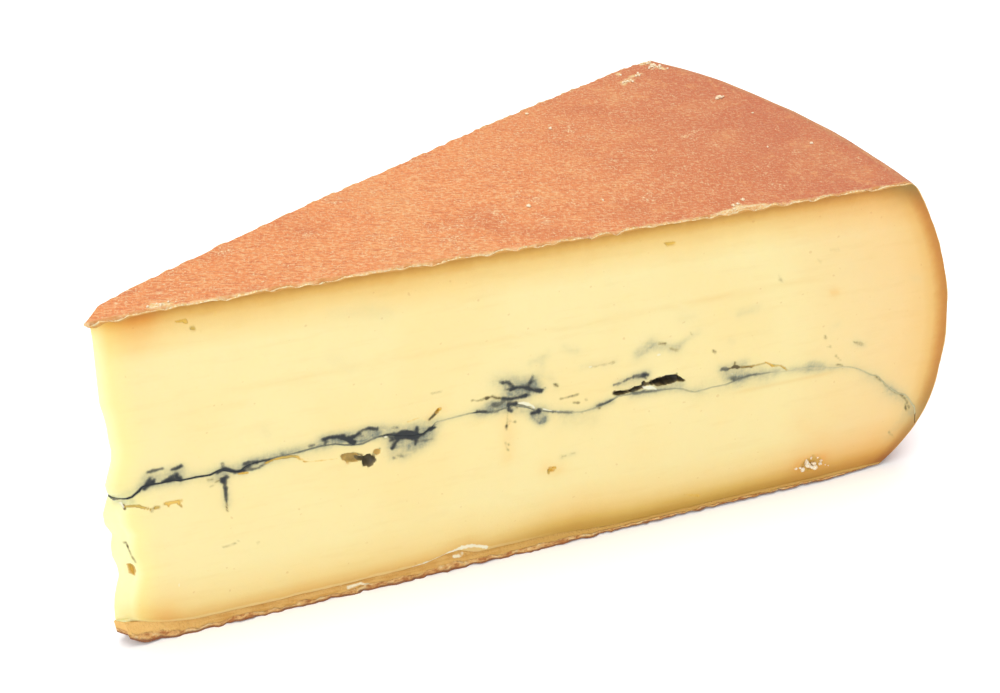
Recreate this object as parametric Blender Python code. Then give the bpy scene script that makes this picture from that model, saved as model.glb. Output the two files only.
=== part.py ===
"""A wedge of morbier cheese: two layers of paste in one rind, with the ash layer running through between them.

The wedge is cut from a wheel that stands on z = 0. While it is modelled the wheel's axis is the line x = 0,
y = 0, the front cut lies in the plane y = 0 and runs out along +X, and the back cut leaves it at the wedge's
angle. The finished wedge is then moved so that the origin is the middle of its footprint.
"""
import math

import bmesh
import bpy
from mathutils import Matrix, Vector, noise

MM = 0.001

# The wheel
WHEEL_HEIGHT = 70 * MM
WHEEL_RADIUS = 178.7 * MM  # at the bulge of its side
BULGE_HEIGHT = 27 * MM  # where the side is widest
TOP_SHRINK = 16.3 * MM  # how much smaller the radius is at the top
BOTTOM_SHRINK = 12.0 * MM  # and at the bottom
TOP_EDGE_RADIUS = 1.8 * MM

# The wedge
WEDGE_ANGLE = math.radians(27.5)
BACK_CUT_BOW = 1.5 * MM  # the back cut is slightly convex
HEEL_BOW = 1.2 * MM  # and the heel bulges a little between its corners
CORNER_BREAK = 1.5 * MM  # how far the back corner of the heel is broken off at the top
CORNER_BREAK_LOW = 0.4  # share of that at the bottom
CORNER_REACH = 7.0 * MM
CORNER_TURN = 0.6  # how far past the wheel's radius, in radians, the break is turned towards the back cut
NOSE_DEPTH = 5.0 * MM  # the blunt tip, measured along Y
NOSE_SLANT = 3.5 * MM  # how much further back its far corner lies
NOSE_CHAMFER = 1.8 * MM  # the lower layer's tip also slants away towards the front cut
NOSE_CREST = 0.4  # and is furthest forward at this share of its depth

LOWER_LAYER = 31.8 * MM  # the lower layer's tip ends here, and
UPPER_LAYER = 34.5 * MM  # the upper layer's begins here

# The tip's outline, (height, how far the tip reaches back along X), from the bottom up
TIP_OUTLINE = (
    (0.0 * MM, -0.6 * MM),
    (5.2 * MM, -1.05 * MM),
    (8.0 * MM, -1.05 * MM),
    (12.0 * MM, -0.45 * MM),
    (14.8 * MM, 0.3 * MM),
    (17.0 * MM, 0.1 * MM),
    (19.5 * MM, -0.65 * MM),
    (23.0 * MM, -0.5 * MM),
    (24.3 * MM, -0.3 * MM),
    (26.7 * MM, -1.45 * MM),
    (29.0 * MM, -1.6 * MM),
    (LOWER_LAYER, -0.8 * MM),
    (UPPER_LAYER, -0.85 * MM),
    (36.2 * MM, -1.15 * MM),
    (41.0 * MM, 0.15 * MM),
    (43.3 * MM, 0.4 * MM),
    (50.5 * MM, -0.35 * MM),
    (55.0 * MM, -0.85 * MM),
    (68.3 * MM, -1.2 * MM),
    (69.0 * MM, -1.9 * MM),
    (70.0 * MM, -1.9 * MM),
)

# The ash layer: (distance from the wheel's axis, height) along the front cut
ASH_LINE = (
    (0 * MM, 32.8 * MM),
    (10 * MM, 34.7 * MM),
    (45 * MM, 35.6 * MM),
    (74 * MM, 36.0 * MM),
    (90 * MM, 31.3 * MM),
    (101 * MM, 33.3 * MM),
    (120 * MM, 30.0 * MM),
    (142 * MM, 30.4 * MM),
    (156 * MM, 27.6 * MM),
    (166 * MM, 20.5 * MM),
    (175 * MM, 11.0 * MM),
)
ASH_THICKNESS = 0.8 * MM
ASH_WANDER = 1.6 * MM  # how far it strays from that line deeper in
ASH_WANDER_PITCH = 45 * MM
ASH_WANDER_ACROSS = 1.7  # and how fast that changes from cut to cut
ASH_FREE_AT = 1 / 3  # share of the way across from which it strays freely
ASH_SMOOTHING = 6 * MM
HEEL_RIND = 3.2 * MM  # the ash stops behind this much rind at the heel
GAP = 0.3 * MM  # between the paste and the ash
CUTTER_MARGIN = 4 * MM

# The rind's cut edges
FRINGE_OVERHANG = 0.55 * MM  # the top rind stands out from the cut
FRINGE_RISE = 0.45 * MM
FRINGE_RAGGED = 0.7 * MM
FRINGE_RAGGED_PITCH = 6 * MM
FRINGE_LOWEST = -0.6  # share of that by which it can be worn down
FRINGE_WAVE = 0.3 * MM
FRINGE_WAVE_PITCH = 5 * MM
BOTTOM_SPLAY = 0.9 * MM  # the bottom rind's lower edge is dragged out past the cut
BOTTOM_RECESS = 0.4 * MM  # and its upper edge is drawn in under the paste
BOTTOM_RAGGED = 0.45 * MM
BOTTOM_RAGGED_PITCH = 9 * MM  # along its lower edge
BOTTOM_CRAG_PITCH = 7 * MM  # and on its side
HEEL_LIFT = 0.45 * MM  # towards the heel its cut edge curls up off the table
HEEL_LIFT_START = 85 * MM
HEEL_LIFT_END = 120 * MM
TIP_FLAP_LIFT = 2.0 * MM  # and so does the flap at the tip
TIP_FLAP_LENGTH = 4.5 * MM
LEDGE_HEIGHT = 2.5 * MM  # the paste's lower lip, above the bottom rind
LEDGE_FLAP = (68 * MM, 5 * MM, 2.1 * MM)  # a smeared flap of it: where, half its length, how much higher
LEDGE_OVERHANG = 0.25 * MM
LEDGE_TIP_RISE = 1.6 * MM  # it rises by this towards the tip
LEDGE_TIP_REACH = 9 * MM
LEDGE_WAVE = 0.3 * MM
LEDGE_WAVE_PITCH = 14 * MM
LEDGE_UNDERCUT = 0.5 * MM  # height of its underside
LEDGE_BEVEL = 1.4 * MM  # height of the slope above it
RIND_UNEVENNESS = 0.35 * MM
TOP_PITCH = 28 * MM
TOP_DROOP = 0.9 * MM  # the top sinks by this towards the tip
TOP_DROOP_REACH = 10 * MM
HEEL_PITCH = 6 * MM
RELIEF_FADE = 12  # the cuts' relief runs out over this fraction (one over it) of the way, at the heel
EDGE_BAND = 1.5 * MM  # width of the strip of faces beside each cut edge
EDGE_BAND_MOST = 0.2  # and the most of the way across that it takes

# Openings in the front cut: (along X, height, length, height of the hole, depth, tilt in degrees)
OPENINGS = (
    (44.5 * MM, 31.5 * MM, 3.8 * MM, 2.3 * MM, 3.0 * MM, -15),
    (48.0 * MM, 30.2 * MM, 2.8 * MM, 2.6 * MM, 3.0 * MM, 20),
    (49.6 * MM, 31.6 * MM, 1.6 * MM, 1.4 * MM, 2.0 * MM, 0),
    (60.9 * MM, 37.9 * MM, 3.0 * MM, 0.6 * MM, 2.0 * MM, 42),
    (103.3 * MM, 34.9 * MM, 5.0 * MM, 1.2 * MM, 2.5 * MM, -5),
    (110.0 * MM, 34.6 * MM, 7.6 * MM, 2.1 * MM, 4.0 * MM, 3),
    (86.1 * MM, 18.8 * MM, 2.2 * MM, 1.6 * MM, 1.2 * MM, -20),
    (149.2 * MM, 5.2 * MM, 5.0 * MM, 3.0 * MM, 2.0 * MM, 5),
    (2.2 * MM, 16.3 * MM, 1.8 * MM, 2.6 * MM, 1.5 * MM, 20),
)
OPENING_RINGS = 6
OPENING_SIDES = 12

# Rows of faces up the sides, in millimetres; the lowest five (0 here) follow the rind's edge and the ledge
ROW_HEIGHTS = (0, 0, 0, 0, 0, 8, 12, 17, 23, 28, 31.8, 34.5, 41, 48, 55, 62, 68.3, 69.1, 70)
BOTTOM, MID_RIND, BELOW_LEDGE, LEDGE, ABOVE_LEDGE = range(5)
LAST_ROW = len(ROW_HEIGHTS) - 1
ALONG = 56
ACROSS = 8
ASH_ACROSS = 4

# Unevenness: its gain, and how far apart the courses of its channels lie
RIPPLE_GAIN = 1.6
CHANNEL_STEP = (7.3, 3.1)
FRONT_SIDE, BACK_SIDE = 0, 5
LEDGE_CHANNEL = 3
FRINGE_CHANNEL = 10
CRAG_CHANNEL = 20
BOTTOM_CHANNEL = 30
RISE_CHANNEL = 40

# Materials: colour and roughness
PASTE_LOOK = ((0.95, 0.80, 0.44), 0.45)
RIND_LOOK = ((0.84, 0.40, 0.18), 0.75)
ASH_LOOK = ((0.06, 0.07, 0.08), 0.8)
RIND_DEPTH = 2 * MM  # faces this close to the wheel's side are rind
RIND_FLATNESS = 0.7  # and so are those whose normal is more upright than this
SHARP_ANGLE = math.radians(35)


def ripple(position, pitch, channel):
    """Smooth unevenness between about -1 and 1; each channel has its own course."""
    over, up = CHANNEL_STEP
    return RIPPLE_GAIN * noise.noise(Vector((position / pitch, channel * over, channel * up)))


def follow(points, position):
    """The second value of a list of pairs at a position, on straight lines between them."""
    for (start, low), (end, high) in zip(points, points[1:]):
        if position <= end:
            share = max(0.0, (position - start) / (end - start))
            return low + (high - low) * share
    return points[-1][1]


def smooth_follow(points, position, width):
    """The same with its corners rounded over a width."""
    steps = 5
    shifts = [width * (step / (steps - 1) - 0.5) for step in range(steps)]
    return sum(follow(points, position + shift) for shift in shifts) / steps


def wheel_radius(height):
    """The wheel's radius: a barrel side with a rounded top edge."""
    above = max(0.0, height - BULGE_HEIGHT) / (WHEEL_HEIGHT - BULGE_HEIGHT)
    below = max(0.0, BULGE_HEIGHT - height) / BULGE_HEIGHT
    radius = WHEEL_RADIUS - TOP_SHRINK * above**2 - BOTTOM_SHRINK * below**3
    into_edge = min(TOP_EDGE_RADIUS, max(0.0, height - WHEEL_HEIGHT + TOP_EDGE_RADIUS))
    return radius - TOP_EDGE_RADIUS + math.sqrt(TOP_EDGE_RADIUS**2 - into_edge**2)


def back_normal():
    """The direction that the back cut faces, seen from above."""
    return Vector((-math.sin(WEDGE_ANGLE), math.cos(WEDGE_ANGLE)))


def slice_width(along, height):
    """The length across the wedge at a share of the way from the tip to the heel."""
    return NOSE_DEPTH * (1 - along) + wheel_radius(height) * WEDGE_ANGLE * along


def nose_point(across, height):
    """A point of the blunt tip, from the front cut to the back cut."""
    lower = min(1.0, max(0.0, (UPPER_LAYER - height) / (UPPER_LAYER - LOWER_LAYER)))
    before_crest = max(0.0, 1 - across / NOSE_CREST)
    slant = NOSE_SLANT * (across + lower * (max(0.0, across - NOSE_CREST) / (1 - NOSE_CREST) - across))
    back = follow(TIP_OUTLINE, height) + lower * NOSE_CHAMFER * before_crest + slant
    return Vector((back, NOSE_DEPTH * across))


def plan_point(along, across, height):
    """A point of the wedge seen from above, by its shares of the way along and across."""
    turn = WEDGE_ANGLE * across
    radius = wheel_radius(height) + HEEL_BOW * math.sin(math.pi * across)
    rim = Vector((math.cos(turn), math.sin(turn))) * radius
    point = nose_point(across, height) * (1 - along) + rim * along
    point += back_normal() * BACK_CUT_BOW * 4 * along * (1 - along) * across
    from_heel = (1 - along) * wheel_radius(height) / CORNER_REACH
    from_back = (1 - across) * slice_width(along, height) / CORNER_REACH
    broken = CORNER_BREAK * (CORNER_BREAK_LOW + (1 - CORNER_BREAK_LOW) * (height / WHEEL_HEIGHT) ** 2)
    inward = -Vector((math.cos(turn + CORNER_TURN), math.sin(turn + CORNER_TURN)))
    return point + inward * broken * math.exp(-(from_heel**2) - from_back**2)


def ledge_height(x):
    """Height of the paste's lower lip along a cut: higher at the tip, with one smeared flap."""
    middle, half, rise = LEDGE_FLAP
    flap = rise * math.exp(-(((x - middle) / half) ** 2))
    tip_rise = LEDGE_TIP_RISE * math.exp(-x / LEDGE_TIP_REACH)
    return LEDGE_HEIGHT + flap + tip_rise + LEDGE_WAVE * ripple(x, LEDGE_WAVE_PITCH, LEDGE_CHANNEL)


def tip_flap(x):
    """How far the bottom rind is lifted near the tip."""
    return TIP_FLAP_LIFT * max(0.0, 1 - max(0.0, x) / TIP_FLAP_LENGTH) ** 2


def bottom_height(x, side, on_cut):
    """Height of the underside: flat on the table, its cut edges ragged and a little lifted."""
    if not on_cut:
        return tip_flap(x)
    ragged = BOTTOM_RAGGED * max(0.0, ripple(x, BOTTOM_RAGGED_PITCH, BOTTOM_CHANNEL + side))
    share = min(1.0, max(0.0, (x - HEEL_LIFT_START) / (HEEL_LIFT_END - HEEL_LIFT_START)))
    return tip_flap(x) + ragged + HEEL_LIFT * share


def row_height(row, x, side, on_cut):
    """Height of a row of faces at x."""
    lowest = bottom_height(x, side, on_cut)
    ledge = ledge_height(x)
    below = ledge - LEDGE_UNDERCUT
    low_rows = (lowest, (lowest + below) / 2, below, ledge, ledge + LEDGE_BEVEL)
    return low_rows[row] if row <= ABOVE_LEDGE else ROW_HEIGHTS[row] * MM


def cut_relief(row, x, side):
    """How far a cut stands out at a row: the rind's fringe on top, the drawn-in rind below."""
    if row >= LAST_ROW - 1:
        return FRINGE_OVERHANG + FRINGE_WAVE * ripple(x, FRINGE_WAVE_PITCH, FRINGE_CHANNEL + side + row)
    if row == LEDGE:
        return LEDGE_OVERHANG
    if row < LEDGE:
        drawn = BOTTOM_SPLAY - (BOTTOM_RECESS + BOTTOM_SPLAY) * row / BELOW_LEDGE
        return drawn + BOTTOM_RAGGED * ripple(x, BOTTOM_CRAG_PITCH, CRAG_CHANNEL + side + row)
    return 0.0


def top_height(point):
    """Height of the top rind away from its edges."""
    slow = noise.noise(Vector((point.x / TOP_PITCH, point.y / TOP_PITCH, 5.0)))
    droop = TOP_DROOP * math.exp(-max(0.0, point.x) / TOP_DROOP_REACH)
    return WHEEL_HEIGHT + RIND_UNEVENNESS * slow - droop


def share_across(column, width):
    """Share of the way across for a column of faces, with a narrow strip beside either cut."""
    band = min(EDGE_BAND / width, EDGE_BAND_MOST)
    if column == 0 or column == ACROSS:
        return column / ACROSS
    inner = (column - 1) / (ACROSS - 2)
    return band + (1 - 2 * band) * inner


def cheese_point(step, column, row):
    """A point of the cheese's skin."""
    along = step / ALONG
    reach = along * WHEEL_RADIUS
    on_cut = column in (0, ACROSS)
    side = FRONT_SIDE if column == 0 else BACK_SIDE
    height = row_height(row, reach, side, on_cut)
    across = share_across(column, slice_width(along, height))
    plan = plan_point(along, across, height)
    if on_cut:
        outward = Vector((0, -1)) if column == 0 else back_normal()
        plan += outward * cut_relief(row, reach, side) * min(1.0, (1 - along) * RELIEF_FADE)
    if row == LAST_ROW:
        height = top_height(plan)
        if on_cut:
            rise = max(FRINGE_LOWEST, ripple(reach, FRINGE_RAGGED_PITCH, RISE_CHANNEL + column))
            height += FRINGE_RISE + FRINGE_RAGGED * rise
    if step == ALONG:
        rough = RIND_UNEVENNESS * noise.noise(Vector((plan.y, height, 0.0)) / HEEL_PITCH)
        plan *= 1 + rough / WHEEL_RADIUS
    return Vector((plan.x, plan.y, height))


def ash_height(reach, across):
    """Height of the middle of the ash layer."""
    line = smooth_follow(ASH_LINE, reach, ASH_SMOOTHING)
    stray = noise.noise(Vector((reach / ASH_WANDER_PITCH, across * ASH_WANDER_ACROSS, 2.0)))
    return line + ASH_WANDER * stray * min(1.0, across / ASH_FREE_AT)


def ash_point(step, column, level, gap):
    """A point of the ash layer (level -1 is its underside and 1 its top), grown by a gap."""
    along = step / ALONG
    across = column / ASH_ACROSS
    reach = along * WHEEL_RADIUS
    height = ash_height(reach, across)
    last = wheel_radius(height) - HEEL_RIND
    plan = plan_point(along * last / wheel_radius(height), across, height)
    slope = (ash_height(reach + MM, across) - ash_height(reach - MM, across)) / (2 * MM)
    half = (ASH_THICKNESS / 2 + gap) * math.sqrt(1 + slope**2)
    if step == ALONG:
        plan *= 1 + gap / WHEEL_RADIUS
    return Vector((plan.x, plan.y, height + half * level))


def slot_point(step, column, level):
    """A point of the slot's cutter: the grown layer, with a row of faces past the tip and past each cut."""
    point = ash_point(max(0, step - 1), min(max(0, column - 1), ASH_ACROSS), level, GAP)
    if step == 0:
        point.x -= CUTTER_MARGIN
    if column == 0:
        point.y -= CUTTER_MARGIN
    if column == ASH_ACROSS + 2:
        point.xy += back_normal() * CUTTER_MARGIN
    return point


def block_mesh(name, counts, place):
    """A closed block of faces, counts[axis] along each axis, whose corners place() puts where they belong."""
    bm = bmesh.new()
    bmesh.ops.create_cube(bm, size=1.0)
    for axis, count in enumerate(counts):
        if count > 1:
            runs = [e for e in bm.edges if abs(e.verts[0].co[axis] - e.verts[1].co[axis]) > 0.5]
            bmesh.ops.subdivide_edges(bm, edges=runs, cuts=count - 1, use_grid_fill=True)
    for vertex in bm.verts:
        steps = [round((vertex.co[axis] + 0.5) * count) for axis, count in enumerate(counts)]
        vertex.co = place(*steps)
    bmesh.ops.recalc_face_normals(bm, faces=bm.faces)
    bmesh.ops.triangulate(bm, faces=bm.faces)
    mesh = bpy.data.meshes.new(name)
    bm.to_mesh(mesh)
    bm.free()
    return mesh


def add_object(name, mesh):
    """An object of a mesh, in the scene."""
    piece = bpy.data.objects.new(name, mesh)
    bpy.context.scene.collection.objects.link(piece)
    return piece


def make_material(name, colour, roughness):
    """A plain material of one colour."""
    material = bpy.data.materials.new(name)
    material.use_nodes = True
    shader = material.node_tree.nodes["Principled BSDF"]
    shader.inputs["Base Color"].default_value = (*colour, 1.0)
    shader.inputs["Roughness"].default_value = roughness
    shader.inputs["Metallic"].default_value = 0.0
    return material


def as_cutter(piece):
    """Mark an object as a tool that only cuts others."""
    piece.hide_render = True
    piece.display_type = "WIRE"
    return piece


def make_slot_cutter():
    """The space that the ash layer lies in, open at both cuts and at the tip."""

    def place(step, column, level):
        return slot_point(step, column, 2 * level - 1)

    mesh = block_mesh("slot_cutter", (ALONG + 1, ASH_ACROSS + 2, 1), place)
    return as_cutter(add_object("slot_cutter", mesh))


def make_opening_cutters():
    """One body for all the holes and slits of the front cut."""
    bm = bmesh.new()
    for x, z, length, height, depth, tilt in OPENINGS:
        stretch = Matrix.Diagonal((length / 2, depth, height / 2, 1))
        turned = Matrix.Rotation(math.radians(-tilt), 4, "Y")
        bmesh.ops.create_uvsphere(
            bm,
            u_segments=OPENING_SIDES,
            v_segments=OPENING_RINGS,
            radius=1.0,
            matrix=Matrix.Translation((x, 0, z)) @ turned @ stretch,
        )
    mesh = bpy.data.meshes.new("opening_cutters")
    bm.to_mesh(mesh)
    bm.free()
    return as_cutter(add_object("opening_cutters", mesh))


def paint_rind(mesh, rind_slot):
    """Give the top, the bottom and the heel the rind's material."""
    for face in mesh.polygons:
        flat = abs(face.normal.z) > RIND_FLATNESS
        outer = math.hypot(face.center.x, face.center.y) > wheel_radius(face.center.z) - RIND_DEPTH
        if flat or outer:
            face.material_index = rind_slot


def make_cheese():
    """The paste and its rind, one solid, with the slot for the ash and the openings of the front cut."""
    mesh = block_mesh("cheese", (ALONG, ACROSS, LAST_ROW), cheese_point)
    mesh.materials.append(make_material("paste", *PASTE_LOOK))
    mesh.materials.append(make_material("rind", *RIND_LOOK))
    paint_rind(mesh, 1)
    cheese = add_object("cheese", mesh)
    for name, cutter in (("ash_slot", make_slot_cutter()), ("openings", make_opening_cutters())):
        cut = cheese.modifiers.new(name, "BOOLEAN")
        cut.operation = "DIFFERENCE"
        cut.solver = "EXACT"
        cut.use_self = name == "openings"
        cut.object = cutter
    return cheese


def make_ash_layer():
    """The sheet of ash, flush with both cuts and the tip."""

    def place(step, column, level):
        return ash_point(step, column, 2 * level - 1, 0.0)

    mesh = block_mesh("ash_layer", (ALONG, ASH_ACROSS, 1), place)
    mesh.materials.append(make_material("ash", *ASH_LOOK))
    return add_object("ash_layer", mesh)


def centre_on_floor(model, others):
    """Move everything so that the origin is the middle of the model's footprint, at its lowest point."""
    corners = [vertex.co for vertex in model.data.vertices]
    low = Vector([min(corner[axis] for corner in corners) for axis in range(3)])
    high = Vector([max(corner[axis] for corner in corners) for axis in range(3)])
    shift = Matrix.Translation((-(low.x + high.x) / 2, -(low.y + high.y) / 2, -low.z))
    for piece in (model, *others):
        piece.data.transform(shift)


def main():
    for old in list(bpy.data.objects):
        bpy.data.objects.remove(old)
    cheese = make_cheese()
    ash = make_ash_layer()
    centre_on_floor(cheese, [ash, *(cut.object for cut in cheese.modifiers)])
    cheese.data.shade_smooth()
    cheese.data.set_sharp_from_angle(angle=SHARP_ANGLE)


main()
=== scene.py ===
"""A wedge of morbier cheese: two layers of paste with ash between them, in a cloth-marked orange rind.

The shapes are worked out in millimetres round the wheel's own axis: the axis is the line x = 0, y = 0, the
front cut lies in the plane y = 0 and runs out along +X, and the table is z = 0. A finished mesh is then moved
into the frame and turned into metres.
"""
import math
import random
from collections import namedtuple

import bmesh
import bpy
import numpy as np
from bpy.props import FloatProperty, FloatVectorProperty, IntProperty, PointerProperty
from mathutils import Matrix, Vector, noise


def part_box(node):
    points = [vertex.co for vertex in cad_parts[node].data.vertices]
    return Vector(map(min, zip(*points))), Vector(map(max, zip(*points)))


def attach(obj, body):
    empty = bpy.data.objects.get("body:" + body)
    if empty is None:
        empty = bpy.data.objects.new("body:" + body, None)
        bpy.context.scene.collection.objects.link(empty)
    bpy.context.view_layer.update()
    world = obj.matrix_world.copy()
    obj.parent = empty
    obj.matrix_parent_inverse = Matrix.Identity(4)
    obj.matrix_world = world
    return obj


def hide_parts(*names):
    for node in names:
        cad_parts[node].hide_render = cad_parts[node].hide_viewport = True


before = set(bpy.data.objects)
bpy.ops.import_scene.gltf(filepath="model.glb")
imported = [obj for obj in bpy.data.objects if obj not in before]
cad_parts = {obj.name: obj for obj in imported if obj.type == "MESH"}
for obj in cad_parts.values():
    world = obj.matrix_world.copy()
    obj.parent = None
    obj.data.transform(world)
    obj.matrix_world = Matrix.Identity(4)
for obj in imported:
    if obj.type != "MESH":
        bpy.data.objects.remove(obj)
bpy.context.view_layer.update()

bl_info = {
    "name": "Cheese Wedge",
    "version": (1, 0, 0),
    "blender": (4, 5, 0),
    "location": "View3D > Sidebar > Cheese",
    "description": "Makes a wedge of cheese with an ash line, a rind and crumbs, and the stage it stands on",
    "category": "Add Mesh",
}

MM = 0.001

# The wheel, in millimetres
WHEEL_HEIGHT = 70.0
WHEEL_RADIUS = 178.7
HEEL_ROUGHNESS = 0.053  # how far the heel's roughness reaches past that
HEEL_DIP = 0.25  # how far inside it the rough surface lies on the whole
BULGE_HEIGHT = 27.0
TOP_SHRINK = 16.3
BOTTOM_SHRINK = 12.0
TOP_EDGE_RADIUS = 1.8

# The wedge
WEDGE_ANGLE = math.radians(27.5)
BACK_CUT_BOW = 1.5
HEEL_BOW = 1.2
CORNER_BREAK = 1.5
CORNER_REACH = 7.0
NOSE_DEPTH = 5.0
NOSE_SLANT = 3.5
NOSE_CHAMFER = 1.8
NOSE_CREST = 0.4
TIP_SAG = 0.9
TIP_SAG_REACH = 10.0
TIP_FLAP_LIFT = 2.0
TIP_FLAP_LENGTH = 4.5
HEEL_LIFT = 0.45
HEEL_LIFT_START = 85.0
HEEL_LIFT_RUN = 35.0
CORNER_TURN = 0.6  # radians from the heel's own direction in which the far corner is drawn back
CORNER_LOW_SHARE = 0.4  # how much of that is left at the bottom
BACK_LEDGE = 2.4  # height of the paste's lower lip on the back cut, and
BACK_LEDGE_TIP = 1.6  # how much higher it is at the tip
BACK_LEDGE_RUN = 9.0
RIND_CEILING = 71.2
LOWER_LAYER = 31.8
UPPER_LAYER = 34.5
TIP_OUTLINE = (
    (0.0, -0.6), (2.9, -0.7), (5.2, -1.05), (7.6, -1.05), (10.0, -0.85), (12.4, -0.35), (14.8, 0.3),
    (17.1, 0.1), (19.5, -0.65), (21.9, -0.7), (24.3, -0.3), (26.7, -1.45), (29.0, -1.6), (31.8, -0.8),
    (34.5, -0.85), (36.2, -1.15), (38.6, -0.5), (41.0, 0.2), (43.3, 0.4), (45.7, 0.1), (48.0, 0.0),
    (50.5, -0.35), (52.9, -0.85), (55.0, -0.9), (66.0, -1.1), (68.5, -1.3), (70.0, -1.9),
)

# The ash line: its broad course through the wedge, and its finer one on the front cut, as (distance, height)
ASH_COURSE = (
    (0, 32.8), (10, 34.7), (45, 35.6), (74, 36.0), (90, 31.3), (101, 33.3), (120, 30.0), (142, 30.4),
    (156, 27.6), (166, 20.5), (175, 11.0),
)
ASH_ON_FRONT = (
    (-0.8, 33.1), (0.6, 32.8), (2.2, 32.65), (3.4, 32.9), (4.4, 33.4), (5.6, 34.0), (6.6, 34.7),
    (7.6, 34.8), (9.6, 34.65), (12.0, 34.7), (12.9, 34.3), (16.0, 34.35), (18.4, 34.2), (19.4, 34.5),
    (20.4, 34.9), (21.3, 34.45), (22.4, 33.8), (23.6, 33.75), (24.6, 34.3), (25.8, 34.8), (28.0, 34.9),
    (31.0, 35.15), (35.0, 35.25), (39.5, 35.6), (42.0, 35.4), (43.6, 34.8), (45.4, 34.35), (47.0, 34.2),
    (48.6, 34.7), (50.0, 35.0), (52.2, 35.05), (54.0, 34.3), (56.5, 33.7), (58.4, 33.5), (59.4, 34.0),
    (60.6, 34.5), (61.8, 35.5), (64.0, 35.8), (68.6, 36.1), (70.4, 36.0), (72.0, 35.5), (74.0, 35.4),
    (77.5, 35.9), (79.4, 35.2), (80.6, 34.7), (82.0, 33.6), (84.0, 33.0), (86.6, 32.3), (89.6, 31.4),
    (91.5, 31.1), (94.0, 31.3), (97.6, 32.2), (99.5, 33.0), (103.0, 32.9), (106.0, 32.6), (110.0, 32.35),
    (112.5, 32.0), (114.0, 31.5), (115.5, 30.7), (117.0, 30.2), (119.0, 30.3), (121.0, 30.5), (124.0, 30.4),
    (127.0, 31.1), (130.0, 31.4), (134.5, 31.2), (139.0, 30.6), (143.7, 30.3), (147.5, 29.6), (150.0, 28.9),
    (152.0, 28.8), (154.5, 28.3), (157.0, 27.3), (159.0, 26.0), (160.5, 25.0), (162.0, 24.6), (163.3, 23.2),
    (165.5, 21.0), (167.2, 19.6), (168.6, 18.6), (170.0, 18.0), (171.2, 16.4), (172.2, 14.7), (173.6, 12.6),
    (175.4, 9.6),
)
ASH_WANDER = 1.6
ASH_WANDER_PITCH = 45.0
ASH_HALF = 0.11
ASH_END = 2.4  # the line ends this far inside the heel
ASH_PROUD = 0.02  # how far it stands out of the cuts
ASH_TUCK = 0.02  # how far the paste reaches into the ash,
RIND_TUCK = 0.05  # into the rinds above and below it
HEEL_TUCK = 0.03  # and into the heel's rind
LINE_DARKNESS = (
    (0, 0.9), (13, 0.85), (27, 0.8), (31, 0.5), (40, 0.55), (45, 0.6), (49, 0.5), (52, 0.8), (61, 0.8),
    (61.8, 0.12), (65, 0.16), (68.6, 0.3), (70, 0.8), (73, 0.5), (80.6, 0.5), (83, 0.5), (87, 0.4),
    (90, 0.2), (94, 0.25), (96, 0.6), (98, 0.6), (99.5, 0.3), (104, 0.45), (110, 0.42), (113, 0.28),
    (117, 0.2), (124, 0.2), (126, 0.5), (132, 0.45), (137, 0.12), (144, 0.12), (150, 0.1), (158, 0.14),
    (163, 0.26), (166, 0.2), (168, 0.22), (173.5, 0.20), (175, 0.12),
)
LINE_HALO = 0.16  # how far the line's own darkness creeps into the paste
HALO_DARK = 0.36  # share of a stroke's darkness that its cloud has
HALO_SOFT = 0.8
INK_BLUR = 0.34  # how soft the strokes' edges are
OLIVE_BLUR = 0.28
FINE_BLUR = 0.16
CORNER_INSET = 0.45  # how far the corner of the tip's blunt end is drawn in from the front cut, and
CORNER_INSET_LOW = 1.0  # the same in the lower layer
FRONT_REACH = 0.2  # share of the way across over which the line leaves its course on the front cut

# The knots of ash on the back cut: where the first one lies, how far they go, and ranges to draw from
KNOTS_START = 8.0
KNOTS_END = 160.0
KNOT_GAP = (9, 22)
KNOT_SIZE = (0.4, 1.0)
KNOT_STROKES = (2, 5)
KNOT_SPREAD = (-4, 4)
KNOT_LEVEL = (-1.2, 3.4)
KNOT_LENGTH = (1.0, 4.5)
KNOT_HALF = (0.14, 0.5)
KNOT_DARK = (0.5, 1.0)
KNOT_CLOUD = (2, 5)
KNOT_CLOUD_DARK = (0.25, 0.6)

# Raggedness, as ripples that are added up, (height, pitch, channel)
LEDGE_RIPPLES = ((0.12, 9.0, 3), (0.06, 2.5, 5))
BACK_LEDGE_RIPPLES = ((0.3, 14.0, 4), (0.06, 2.5, 6))
SOLE_RIPPLES = ((0.45, 9.0, 30.0), (0.2, 2.0, 31.0))
FRINGE_RIPPLES = ((0.6, 3.4, 40.0), (0.4, 1.3, 41.0))

# The paste's lower lip above the bottom rind, on the front cut
LEDGE = (
    (0, 5.2), (3, 4.6), (8.6, 3.3), (12.7, 2.6), (25, 2.3), (57, 2.4), (62, 2.8), (66, 4.0), (69, 4.3),
    (72.6, 3.0), (74, 2.6), (93, 2.4), (104, 1.6), (112, 1.3), (176, 1.2),
)

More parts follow.
